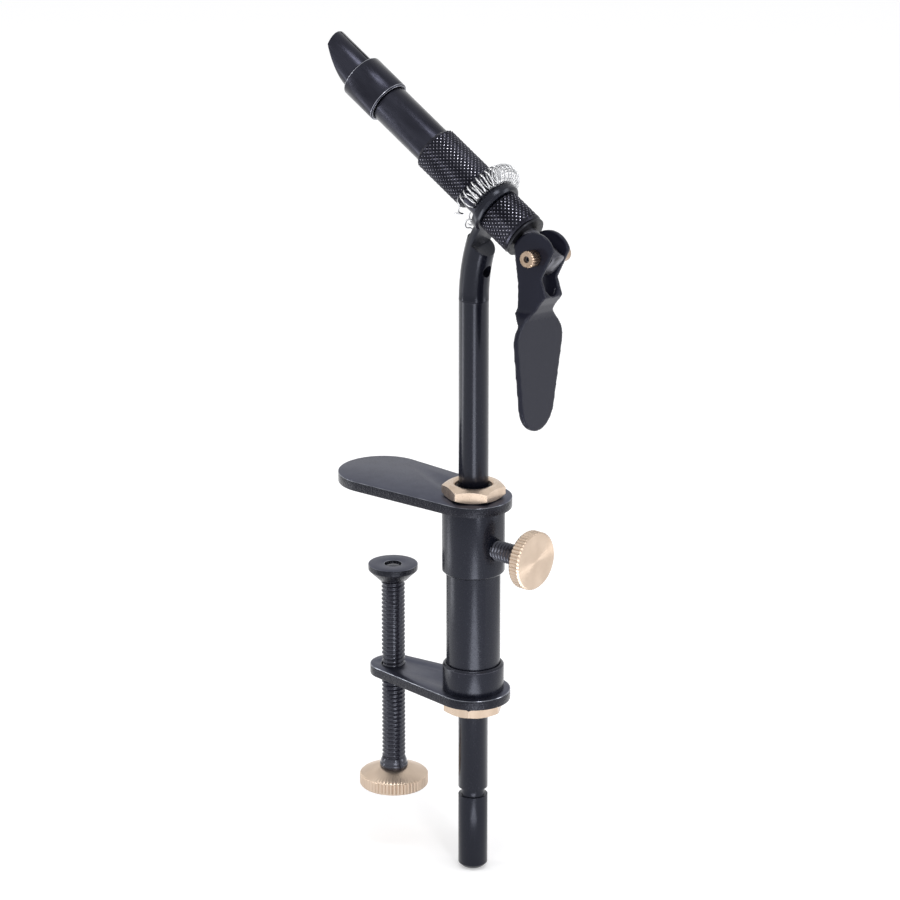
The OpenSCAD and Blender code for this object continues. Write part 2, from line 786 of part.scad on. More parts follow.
// Side view of the lever: X to the tip, Y to the front
module lever_side() {
    front = sheet * (1 - paddle_lift_share);
    back = -sheet * paddle_lift_share;
    polygon(concat(cam_edge(), [
        [web_from * rim_shares[0], -web_back * rim_shares[1]],
        [web_from * rim_shares[2], -web_back * rim_shares[3]],
        [web_from, -web_back],
        [(web_from + neck_at) / 2, -web_back * web_shares[0]],
        [neck_at, -web_back * web_shares[1]],
        [neck_at + sheet, back],
        [lever_len, back - sheet * tip_share],
        [lever_len, front - sheet * tip_share],
        [neck_at + 2 * sheet, front],
        [neck_at + sheet, (front + ear_front) / 2],
        [neck_at, ear_front],
        [web_from, ear_front],
        [web_from * rim_shares[2], ear_front * rim_shares[4]]]));
}

// Front view of the lever: X to the tip, Y across
module lever_face() {
    shoulder = [paddle_at, paddle_half_w - shoulder_r];
    tip = [lever_len - paddle_tip_r, 0];
    line = tip - shoulder;
    side = atan2(line[1], line[0]) + acos((shoulder_r - paddle_tip_r) / norm(line));
    ear_end = -cam_reach - over;
    half = concat(
        [[ear_end, ear_out]],
        [for (i = [0 : flare_parts - 1]) let (u = i / flare_parts)
            [neck_at + (paddle_at - neck_at) * (flare_start_share + (1 - flare_start_share) * u),
             ear_out + (paddle_half_w - ear_out) * (1 - cos(180 * pow(u, flare_power))) / 2]],
        [for (i = [0 : arc_parts]) let (t = 90 + (side - 90) * i / arc_parts)
            shoulder + shoulder_r * [cos(t), sin(t)]],
        [for (i = [0 : 2 * arc_parts]) let (t = side * (1 - i / (2 * arc_parts)))
            tip + paddle_tip_r * [cos(t), sin(t)]]);
    polygon(concat(half, [for (i = [len(half) - 2 : -1 : 0]) [half[i][0], -half[i][1]]]));
}

// The channel between the ears, open to the front, seen from the side
module lever_channel() {
    polygon([[-cam_reach - over, -cam_reach - over],
             [web_from - sheet, -cam_reach - over],
             [web_from - sheet, sheet - web_back],
             [web_from, sheet - web_back],
             [(web_from + neck_at) / 2, sheet - web_back * web_shares[0]],
             [neck_at, sheet - web_back * web_shares[1]],
             [neck_at + sheet, sheet * (1 - paddle_lift_share)],
             [neck_at + 2 * sheet, sheet * (1 - paddle_lift_share)],
             [neck_at + 2 * sheet, ear_front + over],
             [cam_reach, cam_reach + over],
             [-cam_reach - over, cam_reach + over]]);
}

module across(half) {
    rotate([90, 0, 0]) translate([0, 0, -half]) linear_extrude(2 * half) children();
}

module lever() {
    color("#2a2b30") in_lever() difference() {
        intersection() {
            across(paddle_half_w + over) lever_side();
            translate([0, 0, -cam_reach - over]) linear_extrude(2 * (cam_reach + over)) lever_face();
        }
        across(ear_in) lever_channel();
        translate([web_from - ear_in, 0, -web_back - over])
            cylinder(r = ear_in - seat_gap, h = sheet + web_back);
        rotate([90, 0, 0]) translate([0, 0, -ear_out - over])
            cylinder(r = pivot_r + seat_gap, h = 2 * (ear_out + over));
    }
}

module pivot_pin() {
    head = ear_out + pivot_far_out;
    color("silver") in_lever() rotate([-90, 0, 0]) {
        translate([0, 0, -head]) cylinder(r = pivot_r, h = head + ear_out);
        translate([0, 0, -head]) cylinder(r = pivot_knob_r, h = pivot_far_out - seat_gap);
        translate([0, 0, ear_out])
            cylinder(r = pivot_r * core_shares[0], h = pivot_near_out * core_shares[1]);
    }
}

module pivot_knob() {
    color("burlywood") in_lever() rotate([-90, 0, 0]) difference() {
        translate([0, 0, ear_out + seat_gap]) cylinder(r = pivot_knob_r, h = pivot_near_out - seat_gap);
        translate([0, 0, ear_out - over])
            cylinder(r = pivot_r * core_shares[0] + seat_gap, h = pivot_near_out + 2 * over);
    }
}

// A point of the spring wire's middle line, in the head's frame
function spring_point(i) =
    let (turn = spring_start - spring_arc * i / arc_steps,
         curl = 360 * i / curl_rings,
         out = spring_ring_r + curl_r * cos(curl))
    [spring_at + curl_r * sin(curl), out * sin(turn), out * cos(turn)];

function unit(v) = v / norm(v);

near_tail = spring_point(0) - 3 * wire_d * unit(spring_point(1) - spring_point(0));
far_tail = spring_point(arc_steps)
           + 3 * wire_d * unit(spring_point(arc_steps) - spring_point(arc_steps - 1));
spring_path = concat([near_tail], [for (i = [0 : arc_steps]) spring_point(i)], [far_tail]);

function path_way(p, i) = unit(p[min(i + 1, len(p) - 1)] - p[max(i - 1, 0)]);

// A tube along a path; each ring is turned to look away from the ring spring's middle line
function ring_out(p, i) =
    let (way = path_way(p, i),
         turn = atan2(p[i][1], p[i][2]),
         core = [spring_at, spring_ring_r * sin(turn), spring_ring_r * cos(turn)],
         away = p[i] - core)
    unit(away - way * (away * way));

module wire_tube(p, r, sides) {
    count = len(p);
    points = [for (i = [0 : count - 1])
        let (way = path_way(p, i), out = ring_out(p, i), side = cross(way, out))
        for (k = [0 : sides - 1]) p[i] + r * (out * cos(360 * k / sides) + side * sin(360 * k / sides))];
    walls = [for (i = [0 : count - 2]) for (k = [0 : sides - 1])
        let (a = i * sides + k, b = i * sides + (k + 1) % sides)
        each [[a, a + sides, b], [b, a + sides, b + sides]]];
    start = [for (k = [1 : sides - 2]) [0, k, k + 1]];
    last = (count - 1) * sides;
    end = [for (k = [1 : sides - 2]) [last, last + k + 1, last + k]];
    polyhedron(points = points, faces = concat(walls, start, end));
}

// Least gap of the wire to itself, between places more than half a curl apart
function least_gap(p) =
    min([for (i = [0 : len(p) - 1]) for (j = [i + curl_rings / 2 : min(i + 3 * curl_rings, len(p) - 1)])
        norm(p[i] - p[j])]) - wire_d;

echo(spring_gap = least_gap(spring_path));

module material_spring() {
    color("whitesmoke") in_head() wire_tube(spring_path, wire_d / 2, wire_sides);
}

upper_plate();
lower_plate();
column_tube();
upper_collar();
lower_collar();
upper_nut();
lower_nut();
clamp_pad();
clamp_screw();
clamp_knob();
pressure_slug();
thumb_screw();
thumb_knob();
post_liner();
post();
barrel();
jaw_collar();
grip_sleeve();
material_spring();
adjusting_sleeve();
thrust_washer();
drawbar();
jaw_pin();
jaw_near();
jaw_far();
lever();
pivot_pin();
pivot_knob();
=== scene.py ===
"""Looks of a fly tying vise: finishes and fine forms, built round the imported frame."""

from __future__ import annotations

import json
import logging
from dataclasses import dataclass
from enum import Enum
from math import atan2, ceil, cos, pi, radians, sin
from typing import Sequence

import bmesh
import bpy
from mathutils import Matrix, Vector


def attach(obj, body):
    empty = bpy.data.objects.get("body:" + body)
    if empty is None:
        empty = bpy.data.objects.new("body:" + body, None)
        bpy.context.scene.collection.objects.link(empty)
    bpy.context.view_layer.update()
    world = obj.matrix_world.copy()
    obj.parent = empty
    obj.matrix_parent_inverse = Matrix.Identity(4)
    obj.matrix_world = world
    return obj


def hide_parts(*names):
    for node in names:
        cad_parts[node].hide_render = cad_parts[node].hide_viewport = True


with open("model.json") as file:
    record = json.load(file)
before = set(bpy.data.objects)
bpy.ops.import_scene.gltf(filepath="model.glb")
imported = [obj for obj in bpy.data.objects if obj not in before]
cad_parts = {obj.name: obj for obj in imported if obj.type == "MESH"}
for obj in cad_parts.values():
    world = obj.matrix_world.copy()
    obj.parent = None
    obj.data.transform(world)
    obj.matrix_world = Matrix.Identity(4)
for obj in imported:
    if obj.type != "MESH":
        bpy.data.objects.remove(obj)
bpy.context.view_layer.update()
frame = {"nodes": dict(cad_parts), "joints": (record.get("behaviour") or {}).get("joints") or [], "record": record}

MM = 0.001
LOG = logging.getLogger("vise")

Point2 = tuple[float, float]
Point3 = tuple[float, float, float]
Colour = tuple[float, float, float]
Mesh = bmesh.types.BMesh
Socket = bpy.types.NodeSocket

# Lengths in millimetres: a hair, two welds, a close and a loose fit, and a joined part's overlap
NEAR = 0.001
TURNED_WELD = 0.0001
PACKED_WELD = 0.002
FIT = 0.02
GAP = 0.05
OVERLAP = 1.0

# A thread's crest: steps from its outer radius in millimetres, and shares of its pitch
THREAD_CREST = ((-0.06, 0.36), (0.0, 0.4), (0.0, 0.5), (-0.06, 0.54))
ROOT_FROM = 0.9

# Steps round a thin part, steps of a ribbed rim to one tooth, and its least sharp angle in degrees
SMALL_STEPS = 48
RIB_STEPS = 3
RIB_SHARP = 24.0

# Numbers of a piece's finishes
FACE_SLOT = 0
EDGE_SLOT = 1
RIM_SLOT = 2

# Octaves of a coarse, a middling and a fine noise
COARSE = 2
MIDDLING = 3
FINE = 4

WHITE = (1.0, 1.0, 1.0, 1.0)
MIDDLE_SPAN = (0.3, 0.7)


def joint(name: str) -> dict:
    """Finds one joint of the frame.

    Args:
        name: The joint's name.

    Returns:
        The joint's entry, with its axis and place.
    """
    return next(j for j in frame["joints"] if j["name"] == name)


def axes_at(origin: Vector, along: Vector, side: Vector) -> Matrix:
    """Makes a place from an origin, the direction of its Z and that of its X.

    Args:
        origin: The place's origin, in metres.
        along: The direction of Z.
        side: A direction near that of X.

    Returns:
        The matrix from the place to the frame.
    """
    z = along.normalized()
    x = (side - z * side.dot(z)).normalized()
    y = z.cross(x)
    place = Matrix((x, y, z)).transposed().to_4x4()
    place.translation = origin
    return place


@dataclass(frozen=True)
class Places:
    """The places that pieces are built in: each has its Z along the piece's own axis."""

    eye_back: float = 8.95
    post_at: float = 29.85
    thumb_low: float = -11.4

    @property
    def screw(self) -> Matrix:
        """The clamp screw's axis, from the table's upper face upwards."""
        return Matrix.Identity(4)

    @property
    def post(self) -> Matrix:
        """The post's axis, from the table's upper face upwards."""
        return Matrix.Translation((self.post_at * MM, 0, 0))

    @property
    def thumb(self) -> Matrix:
        """The thumb screw's axis, from the post's middle outwards."""
        origin = Vector((self.post_at, 0, self.thumb_low)) * MM
        return axes_at(origin, Vector(joint("thumb_turn")["axis"]), Vector((0, 1, 0)))

    @property
    def head(self) -> Matrix:
        """The head's axis, from where it crosses the post towards the jaws; X looks up, -Y near."""
        turn = joint("head_turn")
        along = Vector(turn["axis"])
        origin = Vector(turn["pos_m"]) + along * self.eye_back * MM
        return axes_at(origin, along, along.cross(Vector(joint("lever_swing")["axis"])))

    @property
    def pivot(self) -> Matrix:
        """The lever's pivot: Z towards the near side, X up from the head's axis."""
        swing = joint("lever_swing")
        return axes_at(Vector(swing["pos_m"]), Vector(swing["axis"]), self.head.col[0].to_3d())


PLACES = Places()


class Shader:
    """One node material under construction, with a principled surface."""

    def __init__(self, name: str) -> None:
        """Starts the material.

        Args:
            name: The material's name.
        """
        self.material = bpy.data.materials.new(name)
        self.material.use_nodes = True
        self.tree = self.material.node_tree
        self.surface = self.tree.nodes["Principled BSDF"]

    def node(self, kind: str, values: dict | None = None, **settings: object) -> bpy.types.Node:
        """Adds a node.

        Args:
            kind: The node's type name, without its ShaderNode prefix.
            values: Values for its input sockets, by name or number.
            **settings: Properties of the node itself.

        Returns:
            The new node.
        """
        made = self.tree.nodes.new("ShaderNode" + kind)
        for key, value in settings.items():
            setattr(made, key, value)
        for key, value in (values or {}).items():
            made.inputs[key].default_value = value
        return made

    def link(self, source: Socket, target: Socket) -> None:
        """Joins two sockets."""
        self.tree.links.new(source, target)

    def set(self, **values: object) -> None:
        """Sets inputs of the surface; an underscore in a name stands for a space."""
        for key, value in values.items():
            self.surface.inputs[key.replace("_", " ")].default_value = value

    def place(self, where: Matrix, stretch: Sequence[float]) -> Socket:
        """Object coordinates seen from a place, in metres times a stretch.

        Args:
            where: The place whose axes the pattern follows.
            stretch: Factors along the place's X, Y and Z.

        Returns:
            The socket that holds the coordinates.
        """
        source = self.node("TexCoord")
        mapping = self.node("Mapping", vector_type="TEXTURE")
        mapping.inputs["Location"].default_value = where.translation
        mapping.inputs["Rotation"].default_value = where.to_euler()
        mapping.inputs["Scale"].default_value = [1.0 / s for s in stretch]
        self.link(source.outputs["Object"], mapping.inputs["Vector"])
        return mapping.outputs["Vector"]

    def noise(self, where: Socket, scale: float, detail: float) -> Socket:
        """Cloudy noise on coordinates, or noise along a single value, which gives rings.

        Args:
            where: The coordinates, or the value.
            scale: The noise's scale.
            detail: How many octaves it has.

        Returns:
            The noise's value.
        """
        size, entry = ("1D", "W") if where.type == "VALUE" else ("3D", "Vector")
        made = self.node("TexNoise", {"Scale": scale, "Detail": detail}, noise_dimensions=size)
        self.link(where, made.inputs[entry])
        return made.outputs["Fac"]

    def span(self, value: Socket, low: float, high: float,
             to_low: float, to_high: float) -> Socket:
        """Maps a range of a value to another, and holds it there.

        Args:
            value: The value.
            low: The value that gives to_low.
            high: The value that gives to_high.
            to_low: Lower result.
            to_high: Upper result.

        Returns:
            The mapped value.
        """
        limits = {"From Min": low, "From Max": high, "To Min": to_low, "To Max": to_high}
        made = self.node("MapRange", limits)
        self.link(value, made.inputs["Value"])
        return made.outputs["Result"]

    def mix(self, factor: Socket, first: Colour, second: Colour) -> Socket:
        """Mixes two colours.

        Args:
            factor: The second colour's share.
            first: The first colour.
            second: The second colour.

        Returns:
            The mixed colour.
        """
        made = self.node("Mix", data_type="RGBA")
        made.inputs["A"].default_value = (*first, 1)
        made.inputs["B"].default_value = (*second, 1)
        self.link(factor, made.inputs["Factor"])
        return made.outputs["Result"]

    def bump(self, height: Socket, depth: float) -> None:
        """Adds a bump to the surface, over the one it has.

        Args:
            height: The height's value, from 0 to 1.
            depth: The height of 1, in metres.
        """
        made = self.node("Bump", {"Distance": depth, "Strength": 1.0})
        self.link(height, made.inputs["Height"])
        normal = self.surface.inputs["Normal"]
        if normal.is_linked:
            self.link(normal.links[0].from_socket, made.inputs["Normal"])
        self.link(made.outputs["Normal"], normal)

    def station(self, where: Socket) -> Socket:
        """Distance from a place's Z axis plus that along it, which runs over faces and rims alike.

        Args:
            where: Coordinates in the place.

        Returns:
            The value.
        """
        flat = self.node("VectorMath", {1: (1, 1, 0)}, operation="MULTIPLY")
        length = self.node("VectorMath", operation="LENGTH")
        part = self.node("SeparateXYZ")
        total = self.node("Math", operation="ADD")
        self.link(where, flat.inputs[0])
        self.link(flat.outputs["Vector"], length.inputs[0])
        self.link(where, part.inputs["Vector"])
        self.link(length.outputs["Value"], total.inputs[0])
        self.link(part.outputs["Z"], total.inputs[1])
        return total.outputs["Value"]


@dataclass(frozen=True)
class TurnedMetal:
    """Bare or blackened metal with turning rings and a fine grain; depths are in metres."""

    name: str
    dark: Colour
    light: Colour
    roughness: float
    place: Matrix
    ring_depth: float = 0.0
    ring_scale: float = 4000.0
    grain_depth: float = 0.0
    grain_scale: float = 3600.0
    grain_stretch: float = 0.02
    cloud_scale: float = 260.0
    cloud_stretch: float = 0.25
    cloud_span: Point2 = (0.35, 0.65)
    rough_scale: float = 2600.0
    spread: float = 0.08
    sheen_axis: str = ""
    sheen: float = 0.92

    def make(self) -> bpy.types.Material:
        """Builds the material.

        Returns:
            The finished material.
        """
        shader = Shader(self.name)
        shader.set(Metallic=1.0)
        cloud_at = shader.place(self.place, (1, 1, self.cloud_stretch))
        cloud = shader.noise(cloud_at, self.cloud_scale, MIDDLING)
        colour = shader.mix(shader.span(cloud, *self.cloud_span, 0, 1), self.dark, self.light)
        shader.link(colour, shader.surface.inputs["Base Color"])
        rough = shader.noise(cloud_at, self.rough_scale, FINE)
        low, high = self.roughness - self.spread, self.roughness + self.spread
        shader.link(shader.span(rough, *MIDDLE_SPAN, low, high), shader.surface.inputs["Roughness"])
        if self.ring_depth:
            at = shader.place(self.place, (1, 1, 1))
            shader.bump(shader.noise(shader.station(at), self.ring_scale, MIDDLING), self.ring_depth)
        if self.grain_depth:
            grain_at = shader.place(self.place, (1, 1, self.grain_stretch))
            shader.bump(shader.noise(grain_at, self.grain_scale, MIDDLING), self.grain_depth)
        if self.sheen_axis:
            shader.set(Anisotropic=self.sheen)
            round_axis = shader.node("Tangent", direction_type="RADIAL", axis=self.sheen_axis)
            shader.link(round_axis.outputs["Tangent"], shader.surface.inputs["Tangent"])
        return shader.material


@dataclass(frozen=True)
class BlackCoat:
    """A black coat over steel, with fine marks round the piece and small pale specks."""

    name: str
    colour: Colour
    roughness: float
    place: Matrix
    mark_depth: float = 6e-7
    mark_scale: float = 5200.0
    mark_stretch: float = 0.06
    specks: float = 0.5
    speck_scale: float = 2400.0
    speck_span: Point2 = (0.66, 0.74)
    speck_gain: float = 4.0
    speck_lift: float = 0.03
    rough_scale: float = 1500.0
    rough_share: Point2 = (0.8, 1.25)
    pit_scale: float = 2200.0
    gloss: float = 0.28
    tint: Colour = (0.8, 0.84, 1.0)

    def make(self) -> bpy.types.Material:
        """Builds the material.

        Returns:
            The finished material.
        """
        shader = Shader(self.name)
        shader.set(Specular_IOR_Level=self.gloss, Specular_Tint=(*self.tint, 1))
        at = shader.place(self.place, (1, 1, 1))
        speck = shader.span(shader.noise(at, self.speck_scale, COARSE), *self.speck_span, 0, self.specks)
        pale = tuple(min(1.0, c * self.speck_gain + self.speck_lift) for c in self.colour)
        shader.link(shader.mix(speck, self.colour, pale), shader.surface.inputs["Base Color"])
        low, high = (self.roughness * share for share in self.rough_share)
        rough = shader.span(shader.noise(at, self.rough_scale, MIDDLING), *MIDDLE_SPAN, low, high)
        shader.link(rough, shader.surface.inputs["Roughness"])
        mark_at = shader.place(self.place, (self.mark_stretch, self.mark_stretch, 1))
        shader.bump(shader.noise(mark_at, self.mark_scale, MIDDLING), self.mark_depth)
        shader.bump(shader.noise(at, self.pit_scale, COARSE), self.mark_depth * 2)
        return shader.material


class Finish(Enum):
    """The finishes of the vise's pieces."""

    BLUED = TurnedMetal("head_blue", (0.022, 0.0225, 0.031), (0.036, 0.037, 0.05), 0.27, PLACES.head,
                        ring_depth=1.5e-6, grain_depth=4e-6)
    # Pale blued steel for the collar's thin rounded lips: a painted highlight.
    BLUED_EDGE = TurnedMetal("blued_edge_highlight", (0.3, 0.31, 0.36), (0.5, 0.51, 0.56), 0.25, PLACES.head)
    KNURLED = TurnedMetal("knurl_valley", (0.014, 0.014, 0.02), (0.036, 0.036, 0.048), 0.3, PLACES.head)
    # Pale steel on the knurls' small crest tops: a painted highlight.
    CREST = TurnedMetal("knurl_crest_highlight", (0.2, 0.2, 0.25), (0.6, 0.6, 0.68), 0.3, PLACES.head)
    WASHER = BlackCoat("washer_black", (0.004, 0.004, 0.005), 0.35, PLACES.head)
    LEVER = BlackCoat("lever_black", (0.011, 0.0115, 0.0195), 0.16, PLACES.pivot, mark_depth=3e-7,
                      specks=0.04, gloss=0.19)
    POST = BlackCoat("post_black", (0.005, 0.0055, 0.0095), 0.2, PLACES.post, gloss=0.3)
    # Grey on the post's rounded edges: a painted highlight line.
    POST_EDGE = BlackCoat("post_edge", (0.09, 0.09, 0.1), 0.25, PLACES.post)
    COLLAR = BlackCoat("collar_black", (0.005, 0.0055, 0.0095), 0.25, PLACES.post, gloss=0.34,
                       mark_depth=5e-6)
    # Dark grey on the collars' rounded edges: a painted highlight.
    COLLAR_EDGE = BlackCoat("collar_edge", (0.03, 0.03, 0.04), 0.25, PLACES.post)
    THREAD = BlackCoat("thread_black", (0.02, 0.02, 0.027), 0.16, PLACES.screw, specks=0.7,
                       mark_depth=2e-6, gloss=0.6)
    LINER = BlackCoat("liner_black", (0.003, 0.003, 0.003), 0.6, PLACES.post)
    SLATE = TurnedMetal("slate_plate", (0.056, 0.06, 0.088), (0.066, 0.071, 0.102), 0.42, PLACES.screw,
                        spread=0.04)
    # Pale slate on the rounded upper edges of the plates and the pad: a painted highlight line.
    SLATE_EDGE = TurnedMetal("slate_edge_highlight", (0.1, 0.105, 0.13), (0.3, 0.31, 0.35), 0.22, PLACES.screw)
    SHEARED = BlackCoat("sheared_black", (0.006, 0.006, 0.009), 0.1, PLACES.screw, mark_depth=8e-5,
                        specks=0.6, gloss=0.25)
    BRASS_SCREW = TurnedMetal("clamp_brass", (0.58, 0.46, 0.36), (0.63, 0.505, 0.4), 0.3, PLACES.screw,
                              ring_depth=3e-6, spread=0.015, sheen_axis="Z")
    BRASS_THUMB = TurnedMetal("thumb_brass", (0.58, 0.46, 0.36), (0.63, 0.505, 0.4), 0.3, PLACES.thumb,
                              ring_depth=3e-6, spread=0.015, sheen_axis="X")
    BRASS_NUT = TurnedMetal("nut_brass", (0.56, 0.44, 0.34), (0.66, 0.53, 0.42), 0.3, PLACES.post,
                            ring_depth=4e-6, spread=0.04)
    BRASS_PIVOT = TurnedMetal("pivot_brass", (0.34, 0.245, 0.175), (0.56, 0.43, 0.33), 0.26, PLACES.pivot)
    # Pale brass on the nuts' rounded edges: a painted highlight.
    BRASS_WORN = TurnedMetal("brass_edge_highlight", (0.86, 0.74, 0.65), (0.95, 0.85, 0.77), 0.2, PLACES.screw)
    STEEL = TurnedMetal("bare_steel", (0.035, 0.036, 0.045), (0.2, 0.2, 0.23), 0.32, PLACES.head,
                        ring_depth=6e-6, grain_depth=1e-5)
    WIRE = TurnedMetal("wire_bright", (0.42, 0.425, 0.44), (0.7, 0.705, 0.72), 0.16, PLACES.head,
                       spread=0.03)

    def material(self) -> bpy.types.Material:
        """The finish's material, made once."""
        return bpy.data.materials.get(self.value.name) or self.value.make()


NODE_FINISHES: dict[str, Finish] = {
    "pressure_slug": Finish.BRASS_THUMB, "post_liner": Finish.LINER, "jaw_pin": Finish.STEEL,
}
PRESSED_FINISHES = (Finish.SLATE, Finish.SLATE_EDGE, Finish.SHEARED)


def dress_nodes() -> None:
    """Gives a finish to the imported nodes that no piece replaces."""
    for name, finish in NODE_FINISHES.items():
        data = frame["nodes"][name].data
        data.materials.clear()
        data.materials.append(finish.material())


def turned(profile: Sequence[Point2], steps: int = 128) -> Mesh:
    """Turns a profile round Z.

    Args:
        profile: Points of radius and height; one that ends on the axis at both ends is not closed.
        steps: Steps of the full turn.

    Returns:
        The closed mesh, in millimetres.
    """
    mesh = bmesh.new()
    line = [mesh.verts.new((r, 0, z)) for r, z in profile]
    pairs = list(zip(line, line[1:]))
    if profile[0][0] > 0:
        pairs.append((line[-1], line[0]))
    edges = [mesh.edges.new(pair) for pair in pairs]
    bmesh.ops.spin(mesh, geom=line + edges, cent=(0, 0, 0), axis=(0, 0, 1), angle=2 * pi,
                   steps=steps, use_merge=True)
    bmesh.ops.remove_doubles(mesh, verts=mesh.verts[:], dist=TURNED_WELD)
    bmesh.ops.recalc_face_normals(mesh, faces=mesh.faces[:])
    return mesh


def soften(mesh: Mesh, width: float, segments: int = 2, angle: float = 28.0,
           edge_highlight_slot: int = FACE_SLOT) -> Mesh:
    """Rounds the sharp edges.

    Args:
        mesh: The mesh.
        width: Width of the rounding.
        segments: Its steps.
        angle: The least angle of an edge that counts as sharp, in degrees.
        edge_highlight_slot: Number of the finish that the rounded edges get; a paler finish there is a painted
            highlight.

    Returns:
        The same mesh.
    """
    sharp = [e for e in mesh.edges if len(e.link_faces) == 2
             and e.calc_face_angle(0.0) > radians(angle)]
    made = bmesh.ops.bevel(mesh, geom=sharp, offset=width, offset_type="OFFSET", segments=segments,
                           profile=0.5, affect="EDGES", clamp_overlap=True, material=-1)
    # The rounded edges take the given finish, which paints a highlight line when it is paler than the faces.
    for face in made["faces"]:
        face.material_index = edge_highlight_slot
    return mesh


def rim(radius: float, low: float, high: float, edge: float) -> list[Point2]:
    """A round's profile with both corners cut off.

    Args:
        radius: The round's radius.
        low: Its lower end.
        high: Its upper end.
        edge: Size of the cuts.

    Returns:
        Its four points, from the lower end upwards.
    """
    return [(radius - edge, low), (radius, low + edge), (radius, high - edge), (radius - edge, high)]


def stored(name: str, mesh: Mesh) -> bpy.types.Mesh:
    """Stores a mesh, which is used up, as the data of an object."""
    data = bpy.data.meshes.new(name)
    mesh.to_mesh(data)
    mesh.free()
    return data


def linked(name: str, data: bpy.types.ID) -> bpy.types.Object:
    """Puts a new object of the given data into the scene."""
    made = bpy.data.objects.new(name, data)
    bpy.context.scene.collection.objects.link(made)
    return made


def copy_of(node: str, flat: float = 0.6) -> Mesh:
    """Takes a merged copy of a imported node's mesh.

    Args:
        node: The node.
        flat: Faces that meet at less than this angle become one, in degrees.

    Returns:
        The copy, in millimetres in the frame.
    """
    mesh = bmesh.new()
    mesh.from_mesh(frame["nodes"][node].data)
    bmesh.ops.scale(mesh, vec=(1 / MM, 1 / MM, 1 / MM), verts=mesh.verts[:])
    bmesh.ops.remove_doubles(mesh, verts=mesh.verts[:], dist=PACKED_WELD)
    bmesh.ops.dissolve_limit(mesh, angle_limit=radians(flat), verts=mesh.verts[:],
                             edges=mesh.edges[:])
    for face in mesh.faces:
        face.material_index = FACE_SLOT
    return mesh


def piece(name: str, mesh: Mesh, nodes: Sequence[str], finishes: Sequence[Finish],
          place: Matrix | None = None, sharp: float = 32.0) -> bpy.types.Object:
    """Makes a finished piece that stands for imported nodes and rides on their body.

    Args:
        name: The piece's name.
        mesh: Its mesh in millimetres, which is used up.
        nodes: The nodes that it stands for.
        finishes: Its finishes, in the order of the mesh's material numbers.
        place: The place that the mesh was built in, or the frame itself.
        sharp: The least angle of an edge that stays sharp, in degrees.

    Returns:
        The piece.
    """
    bmesh.ops.transform(mesh, matrix=(place or Matrix.Identity(4)) @ Matrix.Scale(MM, 4),
                        verts=mesh.verts[:])
    bmesh.ops.recalc_face_normals(mesh, faces=mesh.faces[:])
    data = stored(name, mesh)
    data.shade_smooth()
    data.set_sharp_from_angle(angle=radians(sharp))
    for finish in finishes:
        data.materials.append(finish.material())
    made = linked(name, data)
    record = frame["record"]
    bodies = record["behaviour"]["bodies"]
    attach(made, next(body for body, held in bodies.items() if nodes[0] in held))
    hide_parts(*nodes)
    LOG.info("%s: %d faces", name, len(data.polygons))
    return made


@dataclass(frozen=True)
class Knurl:
    """A diamond knurl on a round that is turned with two steps to a cell."""

    radius: float
    cells: int
    rows: int
    depth: float
    crest: float

    def zone(self, start: float, end: float) -> list[Point2]:
        """The knurl's part of the round's profile, from its start to its end."""
        steps = 2 * self.rows
        return [(self.radius, start + (end - start) * i / steps) for i in range(steps + 1)]

    def press(self, mesh: Mesh, low: float, high: float) -> None:
        """Presses the knurl into the round, whose crests get the second finish, a paler one that is a painted
        highlight.

        Args:
            mesh: The turned mesh.
            low: The knurl's lower end.
            high: Its upper end.
        """
        grooves, crests = [], []
        for vert in mesh.verts:
            if abs(vert.co.xy.length - self.radius) > NEAR or not low - NEAR < vert.co.z < high + NEAR:
                continue
            around = round(atan2(vert.co.y, vert.co.x) / pi * self.cells)
            along = round((vert.co.z - low) / (high - low) * 2 * self.rows)
            (grooves if (around + along) % 2 else crests).append(vert)
        for vert in grooves:
            vert.co.xy *= (self.radius - self.depth) / self.radius
        bmesh.ops.connect_verts(mesh, verts=grooves)
        inner = [v for v in crests if low + FIT < v.co.z < high - FIT]
        made = bmesh.ops.bevel(mesh, geom=inner, offset=self.crest, offset_type="OFFSET", segments=1,
                               profile=0.5, affect="VERTICES", clamp_overlap=True, material=-1)
        for face in made["faces"]:
            face.material_index = EDGE_SLOT


def ribs(mesh: Mesh, radius: float, teeth: int, depth: float) -> None:
    """Presses straight grooves into a rim that has RIB_STEPS steps to a tooth.

    Args:
        mesh: The turned mesh.
        radius: The rim's radius.
        teeth: Number of teeth.
        depth: Depth of the grooves.
    """
    for vert in mesh.verts:
        step = round(atan2(vert.co.y, vert.co.x) / pi * teeth * RIB_STEPS / 2)
        if abs(vert.co.xy.length - radius) < NEAR and step % RIB_STEPS == 0:
            vert.co.xy *= (radius - depth) / radius


